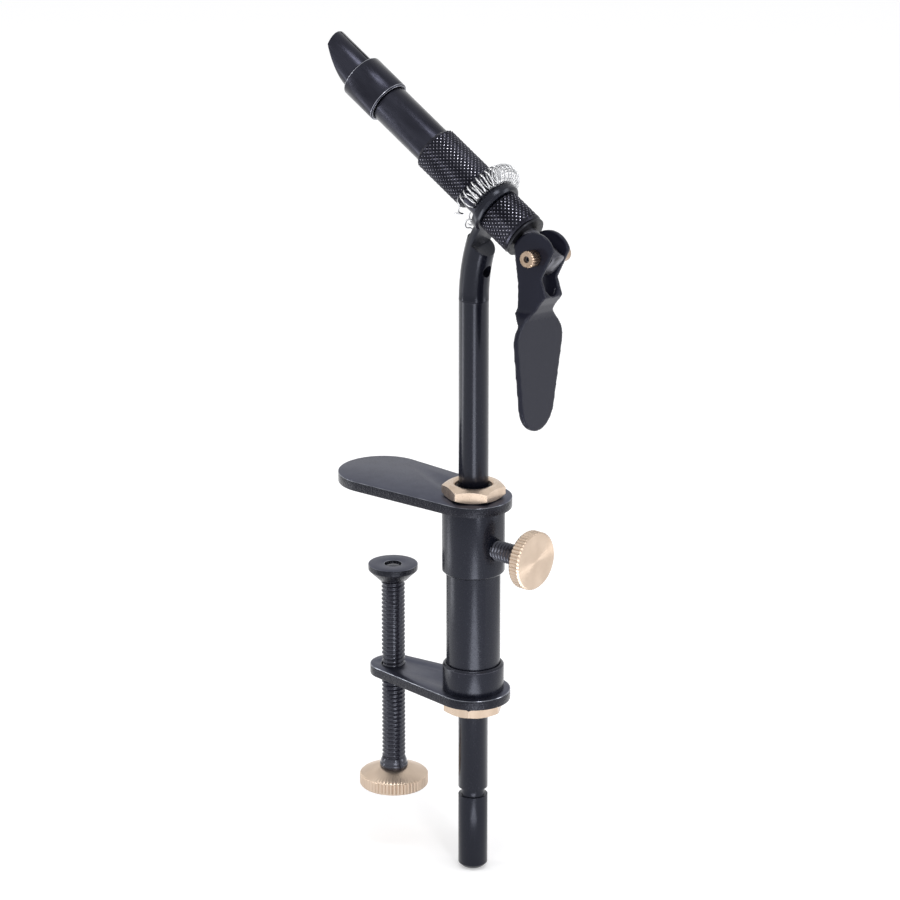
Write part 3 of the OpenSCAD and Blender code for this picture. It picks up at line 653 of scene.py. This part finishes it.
def thread(radius: float, deep: float, pitch: float, low: float, high: float,
           steps: int = 40) -> Mesh:
    """Winds a right handed thread round Z.

    Args:
        radius: Outer radius.
        deep: Depth of the thread.
        pitch: Rise of one turn.
        low: Lower end.
        high: Upper end.
        steps: Steps of one turn.

    Returns:
        The threaded rod, closed at both ends.
    """
    mesh = bmesh.new()
    start = low - 1.5 * pitch
    shape = [(-deep, 0), *THREAD_CREST, (-deep, ROOT_FROM), (-deep, 1)]
    line = [mesh.verts.new((radius + out, 0, start + pitch * up)) for out, up in shape]
    edges = [mesh.edges.new(pair) for pair in zip(line, line[1:])]
    turns = ceil((high - low) / pitch) + 2
    bmesh.ops.spin(mesh, geom=line + edges, cent=(0, 0, 0), axis=(0, 0, 1),
                   dvec=(0, 0, pitch / steps), angle=2 * pi * turns, steps=steps * turns,
                   use_merge=False)
    bmesh.ops.remove_doubles(mesh, verts=mesh.verts[:], dist=NEAR)
    for level, way in ((low, -1), (high, 1)):
        bmesh.ops.bisect_plane(mesh, geom=mesh.verts[:] + mesh.edges[:] + mesh.faces[:],
                               plane_co=(0, 0, level), plane_no=(0, 0, way), clear_outer=True)
    bmesh.ops.holes_fill(mesh, edges=[e for e in mesh.edges if e.is_boundary], sides=0)
    return mesh


def joined(*parts: Mesh) -> Mesh:
    """Puts several meshes together.

    Args:
        *parts: The meshes; all but the first are used up.

    Returns:
        The first mesh, which holds them all.
    """
    first = parts[0]
    for part in parts[1:]:
        data = stored("part", part)
        first.from_mesh(data)
        bpy.data.meshes.remove(data)
    return first


@dataclass
class TableClamp:
    """The two plates, the column with its collars, and the two brass nuts."""

    plate_edge: float = 0.22
    plate_corner: float = 40.0
    tube_edge: float = 0.12
    nut_edge: float = 0.1
    nut_corner: float = 20.0
    edge_flat: float = 0.35

    def plates(self) -> None:
        """Dresses both plates: satin faces, pale rounded corners that are a painted highlight, black sheared rims.
        """
        for node in ("upper_plate", "lower_plate"):
            # The rounded corners get the pale slate edge finish, a painted highlight.
            mesh = soften(copy_of(node), self.plate_edge, 2, self.plate_corner, edge_highlight_slot=EDGE_SLOT)
            for face in mesh.faces:
                face.normal_update()
                up = face.normal.z if face.material_index == EDGE_SLOT else abs(face.normal.z)
                if up < self.edge_flat:
                    face.material_index = RIM_SLOT
            piece(node + "_dressed", mesh, [node], PRESSED_FINISHES)

    def column(self) -> None:
        """Dresses the tube and its two collars."""
        tube = soften(copy_of("column_tube"), self.tube_edge)
        piece("column", tube, ["column_tube"], (Finish.COLLAR,))
        for node in ("upper_collar", "lower_collar"):
            # The collars' rounded edges get a paler finish: a painted highlight.
            mesh = soften(copy_of(node), self.tube_edge, edge_highlight_slot=EDGE_SLOT)
            piece(node + "_ring", mesh, [node], (Finish.COLLAR, Finish.COLLAR_EDGE))

    def nuts(self) -> None:
        """Dresses the brass nuts; their rounded edges get paler brass, a painted highlight."""
        for node in ("upper_nut", "lower_nut"):
            mesh = soften(copy_of(node), self.nut_edge, 1, self.nut_corner, edge_highlight_slot=EDGE_SLOT)
            piece(node + "_brass", mesh, [node], (Finish.BRASS_NUT, Finish.BRASS_WORN),
                  sharp=self.nut_corner)

    def build(self) -> None:
        """Builds the table clamp."""
        self.plates()
        self.column()
        self.nuts()


@dataclass
class ClampScrew:
    """The clamp screw with its pad, flange and brass knob.

    Each point of dome and flange_cove is a step inwards, or a share of the radius, and a height.
    """

    radius: float = 3.375
    deep: float = 0.5
    pitch: float = 1.27
    pad_top: float = -24.55
    pad_r: float = 7.1
    pad_rim: float = 1.6
    pad_cone: float = 3.0
    pad_foot: float = 4.12
    pad_edge: float = 0.14
    pad_corner: float = 20.0
    face_flat: float = 0.4
    recess_r: float = 2.45
    recess_h: float = 1.1
    neck_r: float = 1.8
    dome: tuple[Point2, ...] = ((1.0, 0.0), (1.0, 0.16), (0.75, 0.6), (0.0, 0.8))
    flange_r: float = 4.05
    flange_top: float = -84.2
    flange_low: float = -87.0
    flange_cove: tuple[Point2, ...] = ((0.0, 0.9), (0.35, 1.3), (0.3, 1.9))
    flange_edge: float = 0.1
    flange_steps: int = 96
    knob_r: float = 9.9
    rim_top: float = -89.0
    knob_low: float = -92.7
    rim_edge: float = 0.44
    cone_out: float = 1.6
    cone_drop: float = 0.42
    teeth: int = 56
    rib_depth: float = 0.3
    tang_r: float = 2.5

    def pad(self) -> None:
        """Turns the pad with its recess."""
        low = self.pad_top - self.pad_rim - self.pad_cone
        inner = self.neck_r + GAP
        mesh = turned([
            (inner, low), (self.pad_foot, low), (self.pad_r, low + self.pad_cone),
            (self.pad_r, self.pad_top), (self.recess_r, self.pad_top),
            (self.recess_r, self.pad_top - self.recess_h), (inner, self.pad_top - self.recess_h),
        ])
        # The rounded top edges get the pale slate edge finish, a painted highlight.
        soften(mesh, self.pad_edge, 2, self.pad_corner, edge_highlight_slot=EDGE_SLOT)
        for face in mesh.faces:
            face.normal_update()
            if face.normal.z < self.face_flat:
                face.material_index = RIM_SLOT
        piece("pad", mesh, ["clamp_pad"], PRESSED_FINISHES)

    def screw(self) -> None:
        """Winds the thread, and turns the neck's dome, the flange and the tang."""
        shoulder = self.pad_top - self.pad_rim - self.pad_cone - GAP
        dome_low = self.pad_top - self.recess_h + GAP
        dome_r = self.recess_r - 2 * GAP
        rod = thread(self.radius, self.deep, self.pitch, self.flange_top - GAP, shoulder)
        dome = [(dome_r * share, dome_low + up) for share, up in self.dome]
        neck = turned([
            (0, shoulder - OVERLAP), (self.neck_r, shoulder - OVERLAP), (self.neck_r, dome_low),
            *dome,
        ], SMALL_STEPS)
        cove = [(self.flange_r - inwards, self.flange_low + up) for inwards, up in self.flange_cove]
        flange = turned([
            (0, self.knob_low), (self.tang_r, self.knob_low), (self.tang_r, self.flange_low),
            (self.flange_r, self.flange_low), *cove, (self.radius, self.flange_top), (0, self.flange_top),
        ], self.flange_steps)
        soften(flange, self.flange_edge)
        piece("screw", joined(rod, neck, flange), ["clamp_screw"], (Finish.THREAD,))

    def knob(self) -> None:
        """Turns the brass knob, with its cone and ribbed rim."""
        inner = self.tang_r + FIT
        mesh = turned([
            (inner, self.knob_low), *rim(self.knob_r, self.knob_low, self.rim_top, self.rim_edge),
            (self.flange_r + self.cone_out, self.flange_low - self.cone_drop),
            (self.flange_r, self.flange_low), (inner, self.flange_low),
        ], RIB_STEPS * self.teeth)
        ribs(mesh, self.knob_r, self.teeth, self.rib_depth)
        piece("clamp_knob_brass", mesh, ["clamp_knob"], (Finish.BRASS_SCREW,), sharp=RIB_SHARP)

    def build(self) -> None:
        """Builds the clamp screw."""
        self.pad()
        self.screw()
        self.knob()


@dataclass
class ThumbScrew:
    """The thumb screw and its brass head."""

    radius: float = 2.9
    deep: float = 0.4
    pitch: float = 1.0
    inner_end: float = 6.4
    head_from: float = 19.2
    head_t: float = 3.5
    head_r: float = 8.3
    edge: float = 0.42
    teeth: int = 48
    rib_depth: float = 0.28
    tang_r: float = 2.03

    def build(self) -> None:
        """Builds the thumb screw."""
        outer = self.head_from + self.head_t
        half = self.head_from + self.head_t / 2
        rod = thread(self.radius, self.deep, self.pitch, self.inner_end, self.head_from)
        tang = turned([
            (0, self.head_from - OVERLAP), (self.tang_r, self.head_from - OVERLAP),
            (self.tang_r, half), (0, half),
        ], SMALL_STEPS)
        piece("thumb_thread", joined(rod, tang), ["thumb_screw"], (Finish.THREAD,), PLACES.thumb)
        inner = self.tang_r + FIT
        head = turned([
            (inner, self.head_from), *rim(self.head_r, self.head_from, outer, self.edge), (0, outer),
            (0, half + GAP), (inner, half + GAP),
        ], RIB_STEPS * self.teeth)
        ribs(head, self.head_r, self.teeth, self.rib_depth)
        piece("thumb_head", head, ["thumb_knob"], (Finish.BRASS_THUMB,), PLACES.thumb, sharp=RIB_SHARP)


@dataclass
class BentPost:
    """The bent post with its eye."""

    edge: float = 0.15
    corner: float = 30.0
    flat: float = 0.3

    def build(self) -> None:
        """Dresses the post; its rounded edges get a grey finish, a painted highlight line."""
        mesh = soften(copy_of("post", self.flat), self.edge, 2, self.corner, edge_highlight_slot=EDGE_SLOT)
        piece("bent_post", mesh, ["post"], (Finish.POST, Finish.POST_EDGE))


@dataclass
class RotaryHead:
    """The barrel with its collar and grip, the adjusting sleeve, the washer and the drawbar."""

    barrel_r: float = 5.575
    barrel_rear: float = -19.55
    barrel_edge: float = 0.12
    journal_r: float = 4.9
    eye_front: float = -7.75
    bore_r: float = 3.55
    jaw_bore_r: float = 4.25
    jaw_bore_from: float = 20.55
    barrel_front: float = 39.6
    collar_from: float = 35.6
    collar_to: float = 47.6
    collar_r: float = 6.46
    collar_edge: float = 0.4
    recess_deep: float = 0.5
    recess_out: float = 0.3
    barrel_gap: float = 0.03
    lip_edge: float = 0.07
    lip_corner: float = 25.0
    mouth_r: float = 5.13
    small_r: float = 3.876
    taper_rear: float = 41.0
    grip_from: float = -1.8
    grip_to: float = 16.4
    grip_edge: float = 0.6
    grip_knurl: Knurl = Knurl(6.675, 30, 12, 0.38, 0.16)
    sleeve_front: float = -10.3
    sleeve_rear: float = -20.8
    sleeve_edge: float = 0.9
    sleeve_front_edge: float = 0.3
    sleeve_round: float = 0.12
    sleeve_knurl: Knurl = Knurl(6.6, 30, 6, 0.36, 0.2)
    sleeve_wall: float = 1.2
    knurl_sharp: float = 25.0
    washer_rear: float = -21.5
    washer_r: float = 6.35
    washer_edge: float = 0.1
    washer_round: float = 0.15
    drawbar_edge: float = 0.12

    def barrel(self) -> None:
        """Turns the barrel."""
        mesh = turned([
            (self.bore_r, self.barrel_rear), (self.journal_r, self.barrel_rear),
            (self.journal_r, self.eye_front), (self.barrel_r, self.eye_front),
            (self.barrel_r, self.collar_from), (self.journal_r, self.collar_from),
            (self.journal_r, self.barrel_front), (self.jaw_bore_r, self.barrel_front),
            (self.jaw_bore_r, self.jaw_bore_from), (self.bore_r, self.jaw_bore_from),
        ])
        soften(mesh, self.barrel_edge)
        piece("barrel_tube", mesh, ["barrel"], (Finish.BLUED,), PLACES.head)

    def collar(self) -> None:
        """Turns the jaw collar, with its recess and thin lips whose pale finish is a painted highlight."""
        lip = (self.barrel_r + self.collar_r - self.collar_edge) / 2
        inner = self.journal_r + FIT
        rear = self.barrel_front + GAP
        mesh = turned([
            (inner, self.collar_from + self.recess_deep),
            (self.barrel_r + self.barrel_gap, self.collar_from + self.recess_out),
            (lip, self.collar_from),
            *rim(self.collar_r, self.collar_from, self.collar_to, self.collar_edge),
            (self.mouth_r, self.collar_to), (self.small_r, self.taper_rear), (self.small_r, rear),
            (inner, rear),
        ])
        soften(mesh, self.lip_edge, 1, self.lip_corner, edge_highlight_slot=EDGE_SLOT)
        piece("collar", mesh, ["jaw_collar"], (Finish.BLUED, Finish.BLUED_EDGE), PLACES.head)

    def grip(self) -> None:
        """Turns and knurls the front grip."""
        knurl = self.grip_knurl
        low, high = self.grip_from + self.grip_edge, self.grip_to - self.grip_edge
        inner, chamfer = self.barrel_r + FIT, knurl.radius - self.grip_edge
        mesh = turned([
            (inner, self.grip_from), (chamfer, self.grip_from), *knurl.zone(low, high),
            (chamfer, self.grip_to), (inner, self.grip_to),
        ], 2 * knurl.cells)
        knurl.press(mesh, low, high)
        piece("grip", mesh, ["grip_sleeve"], (Finish.KNURLED, Finish.CREST), PLACES.head,
              sharp=self.knurl_sharp)

    def sleeve(self) -> None:
        """Turns and knurls the adjusting sleeve."""
        knurl = self.sleeve_knurl
        low, high = self.sleeve_rear + self.sleeve_edge, self.sleeve_front - self.sleeve_front_edge
        inner, wall = self.journal_r + GAP, self.sleeve_rear + self.sleeve_wall
        mesh = turned([
            (inner, self.sleeve_front), (knurl.radius - self.sleeve_front_edge, self.sleeve_front),
            *knurl.zone(high, low), (knurl.radius - self.sleeve_round, low - self.sleeve_round),
            (knurl.radius - self.sleeve_edge, self.sleeve_rear), (self.bore_r, self.sleeve_rear),
            (self.bore_r, wall), (inner, wall),
        ], 2 * knurl.cells)
        knurl.press(mesh, low, high)
        piece("sleeve", mesh, ["adjusting_sleeve"], (Finish.KNURLED, Finish.CREST), PLACES.head,
              sharp=self.knurl_sharp)

    def washer(self) -> None:
        """Turns the thrust washer."""
        rear, front, out = self.washer_rear, self.sleeve_rear, self.washer_r
        mesh = turned([
            (self.bore_r, rear), (out - self.washer_edge, rear), (out, rear + self.washer_edge),
            (out, front - self.washer_round), (out - self.washer_round, front), (self.bore_r, front),
        ])
        piece("washer", mesh, ["thrust_washer"], (Finish.WASHER,), PLACES.head)

    def drawbar(self) -> None:
        """Dresses the drawbar."""
        mesh = soften(copy_of("drawbar"), self.drawbar_edge)
        piece("drawbar_rod", mesh, ["drawbar"], (Finish.STEEL,))

    def build(self) -> None:
        """Builds the head."""
        self.barrel()
        self.collar()
        self.grip()
        self.sleeve()
        self.washer()
        self.drawbar()


@dataclass
class MaterialSpring:
    """The coil spring that is bent to a ring round the barrel, with its two hooked ends."""

    ring_r: float = 8.5
    curl_r: float = 2.65
    wire: float = 0.45
    curls: int = 30
    steps: int = 24
    arc: float = 268.0
    start: float = 98.0
    station: float = -4.85
    tail_steps: int = 12
    tail_swing: float = 2.2
    hook: float = 1.1
    hook_steps: int = 14
    hook_circle: int = 17
    sharp: float = 60.0

    def curl_point(self, share: float) -> Vector:
        """A point of the curls.

        Args:
            share: How far along the spring it lies, from 0 to 1.

        Returns:
            The point in the head's place.
        """
        turn = radians(self.start - self.arc * share)
        curl = 2 * pi * self.curls * share
        out = self.ring_r + self.curl_r * cos(curl)
        up = self.station + self.curl_r * sin(curl)
        return Vector((out * cos(turn), -out * sin(turn), up))

    def tail(self, side: int) -> list[Vector]:
        """The wire's end at one side: it leaves the last curl and closes in a small hook.

        Args:
            side: 0 for the near end, 1 for the far one.

        Returns:
            Points from the last curl outwards.
        """
        ahead = 1 if side == 0 else -1
        turn = self.start - self.arc * side
        points = []
        for step in range(1, self.tail_steps + 1):
            swing = radians(turn + ahead * step * self.tail_swing)
            out = self.ring_r + self.curl_r * cos(step / self.tail_steps * pi / 2)
            points.append(Vector((out * cos(swing), -out * sin(swing), self.station)))
        last = points[-1]
        way = (last - points[-2]).normalized()
        across = way.cross(last.normalized()).normalized()
        centre = last + across * self.hook
        for step in range(1, self.hook_steps + 1):
            angle = 2 * pi * step / self.hook_circle
            points.append(centre - across * self.hook * cos(angle) + way * self.hook * sin(angle))
        return points

    def build(self) -> None:
        """Draws the wire as one tube."""
        count = self.curls * self.steps
        path = list(reversed(self.tail(0))) + [self.curl_point(i / count) for i in range(count + 1)]
        path += self.tail(1)
        curve = bpy.data.curves.new("wire", "CURVE")
        curve.dimensions = "3D"
        curve.bevel_depth = self.wire / 2 * MM
        curve.bevel_resolution = 2
        curve.use_fill_caps = True
        line = curve.splines.new("POLY")
        line.points.add(len(path) - 1)
        for point, where in zip(line.points, path):
            point.co = (*(PLACES.head @ (where * MM)), 1)
        drawn = linked("wire", curve)
        data = bpy.data.meshes.new_from_object(drawn)
        mesh = bmesh.new()
        mesh.from_mesh(data)
        bpy.data.objects.remove(drawn)
        bpy.data.meshes.remove(data)
        bmesh.ops.remove_doubles(mesh, verts=mesh.verts[:], dist=NEAR * MM)
        bmesh.ops.scale(mesh, vec=(1 / MM, 1 / MM, 1 / MM), verts=mesh.verts[:])
        piece("spring", mesh, ["material_spring"], (Finish.WIRE,), sharp=self.sharp)


@dataclass
class Jaws:
    """The two jaws."""

    edge: float = 0.1
    corner: float = 24.0

    def build(self) -> None:
        """Dresses both jaws."""
        for node in ("jaw_near", "jaw_far"):
            piece(node + "_steel", soften(copy_of(node), self.edge, 2, self.corner), [node], (Finish.BLUED,))


@dataclass
class CamLever:
    """The lever with its pivot pin and knob.

    Each point of core_cup is a share of the core's radius and a depth below its end.
    """

    voxel: float = 0.26
    passes: int = 14
    pull: float = 0.5
    smooth_all: float = 180.0
    ear_out: float = 4.5
    pin_r: float = 1.5
    pin_steps: int = 60
    pin_edge: float = 0.08
    far_out: float = 5.9
    core_r: float = 0.9
    core_reach: float = 0.78
    core_cup: tuple[Point2, ...] = ((0.6, 0.0), (0.45, 0.7), (0.0, 0.8))
    knob_r: float = 2.35
    knob_out: float = 3.8
    knob_edge: float = 0.3
    knob_foot_in: float = 0.25
    knob_foot_up: float = 0.2
    teeth: int = 20
    rib_depth: float = 0.2

    def lever(self) -> None:
        """Presses the lever: a fine skin over the node's form, smoothed until its edges are round."""
        data = stored("press", copy_of("lever"))
        blank = linked("press", data)
        skin = blank.modifiers.new("skin", "REMESH")
        skin.mode = "VOXEL"
        skin.voxel_size = self.voxel
        skin.use_smooth_shade = True
        smooth = blank.modifiers.new("smooth", "SMOOTH")
        smooth.factor = self.pull
        smooth.iterations = self.passes
        shape = blank.evaluated_get(bpy.context.evaluated_depsgraph_get())
        mesh = bmesh.new()
        mesh.from_mesh(shape.to_mesh())
        shape.to_mesh_clear()
        bpy.data.objects.remove(blank)
        bpy.data.meshes.remove(data)
        piece("cam_lever", mesh, ["lever"], (Finish.LEVER,), sharp=self.smooth_all)

    def pin(self) -> None:
        """Turns the pivot pin, with its far head and the cupped core at its near end."""
        far = self.ear_out + self.far_out
        low = -self.ear_out - FIT
        core = self.ear_out + self.knob_out * self.core_reach
        cup = [(self.core_r * share, core - down) for share, down in self.core_cup]
        pin = turned([
            (0, -far), (self.knob_r - self.knob_edge, -far), (self.knob_r, self.knob_edge - far),
            (self.knob_r, low), (self.pin_r, low), (self.pin_r, self.ear_out),
            (self.core_r, self.ear_out), (self.core_r, core), *cup,
        ], self.pin_steps)
        for face in pin.faces:
            if face.calc_center_median().z < -self.ear_out:
                face.material_index = EDGE_SLOT
        soften(pin, self.pin_edge)
        piece("pin", pin, ["pivot_pin"], (Finish.STEEL, Finish.BRASS_PIVOT), PLACES.pivot)

    def knob(self) -> None:
        """Turns the ribbed knob at the near side."""
        low, high = self.ear_out + FIT, self.ear_out + self.knob_out
        inner = self.core_r + FIT
        knob = turned([
            (inner, low), (self.knob_r - self.knob_foot_in, low), (self.knob_r, low + self.knob_foot_up),
            (self.knob_r, high - self.knob_edge), (self.knob_r - self.knob_edge, high), (inner, high),
        ], RIB_STEPS * self.teeth)
        ribs(knob, self.knob_r, self.teeth, self.rib_depth)
        piece("pivot_brass", knob, ["pivot_knob"], (Finish.BRASS_PIVOT,), PLACES.pivot, sharp=RIB_SHARP)

    def build(self) -> None:
        """Builds the lever."""
        self.lever()
        self.pin()
        self.knob()


@dataclass(frozen=True)
class Lamp:
    """A soft lamp that looks at the vise's middle, in millimetres and watts."""

    name: str
    spot: Point3
    size: Point2
    power: float


@dataclass(frozen=True)
class Strip:
    """A narrow lamp on the floor, which draws a thin light line on upright rounds.

    The azimuth counts as the camera's does; the reach goes from the nearer to the farther end.
    """

    name: str
    azimuth: float
    reach: Point2
    width: float
    power: float


LAMPS = (Lamp("key", (860, -520, 330), (130, 820), 2.6), Lamp("left", (-820, -560, 330), (110, 820), 2.2),
         Lamp("top", (250, -150, 1300), (420, 420), 4), Lamp("right", (800, 560, 160), (300, 500), 1.6))
STRIPS = (Strip("strip", 45.0, (60, 290), 60, 0.24), Strip("left_strip", -60.0, (200, 640), 90, 0.36))


@dataclass
class Studio:
    """The pale floor, the soft light and the camera."""

    azimuth: float = 40.0
    elevation: float = 19.08
    distance: float = 1250.0
    focal_pixels: float = 4464.0
    image: float = 900.0
    sensor: float = 36.0
    clip_end: float = 20.0
    origin_pixel: Point2 = (472.8, 500.5)
    origin: Point3 = (29.6, 0.0, 1.33)
    floor_low: float = -110.2
    floor_half: float = 4000.0
    floor_colour: Colour = (0.86, 0.86, 0.87)
    floor_roughness: float = 0.9
    floor_shine: float = 0.3
    sky_seen: float = 1.0
    sky_light: float = 0.7
    strip_up: float = 1.0

    def camera(self) -> None:
        """Sets the camera up, at the photograph's angle and framing."""
        a, e = radians(self.azimuth), radians(self.elevation)
        back = Vector((sin(a) * cos(e), -cos(a) * cos(e), sin(e)))
        right = Vector((cos(a), sin(a), 0))
        up = back.cross(right)
        half = self.image / 2
        aside = (half - self.origin_pixel[0]) / self.focal_pixels * self.distance
        above = (self.origin_pixel[1] - half) / self.focal_pixels * self.distance
        spot = Vector(self.origin) + back * self.distance + right * aside + up * above
        data = bpy.data.cameras.new("camera")
        data.sensor_width = self.sensor
        data.lens = self.focal_pixels / self.image * self.sensor
        data.clip_end = self.clip_end
        place = Matrix((right, up, back)).transposed().to_4x4()
        place.translation = spot * MM
        camera = linked("camera", data)
        camera.matrix_world = place
        bpy.context.scene.camera = camera

    def floor(self) -> None:
        """Lays the floor, which keeps the vise's shadow."""
        mesh = bmesh.new()
        bmesh.ops.create_grid(mesh, x_segments=1, y_segments=1, size=self.floor_half * MM)
        bmesh.ops.translate(mesh, verts=mesh.verts[:], vec=(0, 0, self.floor_low * MM))
        data = stored("floor", mesh)
        floor = linked("floor", data)
        shader = Shader("floor")
        shader.set(Base_Color=(*self.floor_colour, 1), Roughness=self.floor_roughness,
                   Specular_IOR_Level=0.0, Emission_Color=WHITE)
        strength = self.seen(shader.tree, self.floor_shine, 0.0)
        shader.link(strength, shader.surface.inputs["Emission Strength"])
        data.materials.append(shader.material)

    @staticmethod
    def seen(tree: bpy.types.NodeTree, shown: float, hidden: float) -> Socket:
        """A value that depends on whether a ray comes to see, or to light.

        Args:
            tree: The nodes of a material or of the world.
            shown: The value for camera, glossy and transmission rays.
            hidden: The value for the rest.

        Returns:
            The value.
        """
        path = tree.nodes.new("ShaderNodeLightPath")
        value = path.outputs["Is Camera Ray"]
        for kind in ("Is Glossy Ray", "Is Transmission Ray"):
            most = tree.nodes.new("ShaderNodeMath")
            most.operation = "MAXIMUM"
            tree.links.new(value, most.inputs[0])
            tree.links.new(path.outputs[kind], most.inputs[1])
            value = most.outputs["Value"]
        span = tree.nodes.new("ShaderNodeMapRange")
        span.inputs["To Min"].default_value = hidden
        span.inputs["To Max"].default_value = shown
        tree.links.new(value, span.inputs["Value"])
        return span.outputs["Result"]

    def world(self) -> None:
        """Fills the world with soft white light."""
        world = bpy.data.worlds.new("world")
        bpy.context.scene.world = world
        world.use_nodes = True
        tree = world.node_tree
        background = tree.nodes["Background"]
        background.inputs["Color"].default_value = WHITE
        strength = self.seen(tree, self.sky_seen, self.sky_light)
        tree.links.new(strength, background.inputs["Strength"])

    @staticmethod
    def area(name: str, size: Point2, power: float, place: Matrix) -> bpy.types.Object:
        """Makes a rectangular lamp, which shines against the Z of its place."""
        data = bpy.data.lights.new(name, "AREA")
        data.shape = "RECTANGLE"
        data.size = size[0] * MM
        data.size_y = size[1] * MM
        data.energy = power
        lamp = linked(name, data)
        lamp.matrix_world = place
        return lamp

    def hang(self, lamp: Lamp) -> None:
        """Hangs a lamp."""
        at = Vector(lamp.spot) * MM
        look = at - Vector(self.origin) * MM
        self.area(lamp.name, lamp.size, lamp.power, axes_at(at, look, Vector((0, 0, 1)).cross(look)))

    def lay(self, strip: Strip) -> None:
        """Lays a strip on the floor, hidden from the camera."""
        near, far = strip.reach
        turn = radians(strip.azimuth)
        way = Vector((sin(turn), -cos(turn), 0))
        down = Vector((0, 0, -1))
        at = Vector((self.origin[0], 0, self.floor_low + self.strip_up)) + way * (near + far) / 2
        place = axes_at(at * MM, down, way.cross(down))
        made = self.area(strip.name, (strip.width, far - near), strip.power, place)
        made.visible_camera = False

    def build(self) -> None:
        """Builds the whole studio."""
        self.camera()
        self.floor()
        self.world()
        for lamp in LAMPS:
            self.hang(lamp)
        for strip in STRIPS:
            self.lay(strip)
        bpy.context.scene.view_settings.view_transform = "Standard"


def main() -> None:
    """Builds the studio, dresses the nodes and builds the vise, sub-assembly by sub-assembly."""
    logging.basicConfig(level=logging.INFO, format="%(name)s: %(message)s")
    Studio().build()
    dress_nodes()
    for assembly in (TableClamp(), ClampScrew(), ThumbScrew(), BentPost(), RotaryHead(),
                     MaterialSpring(), Jaws(), CamLever()):
        assembly.build()
        LOG.info("%s is built", type(assembly).__name__)


if __name__ == "__main__":
    main()
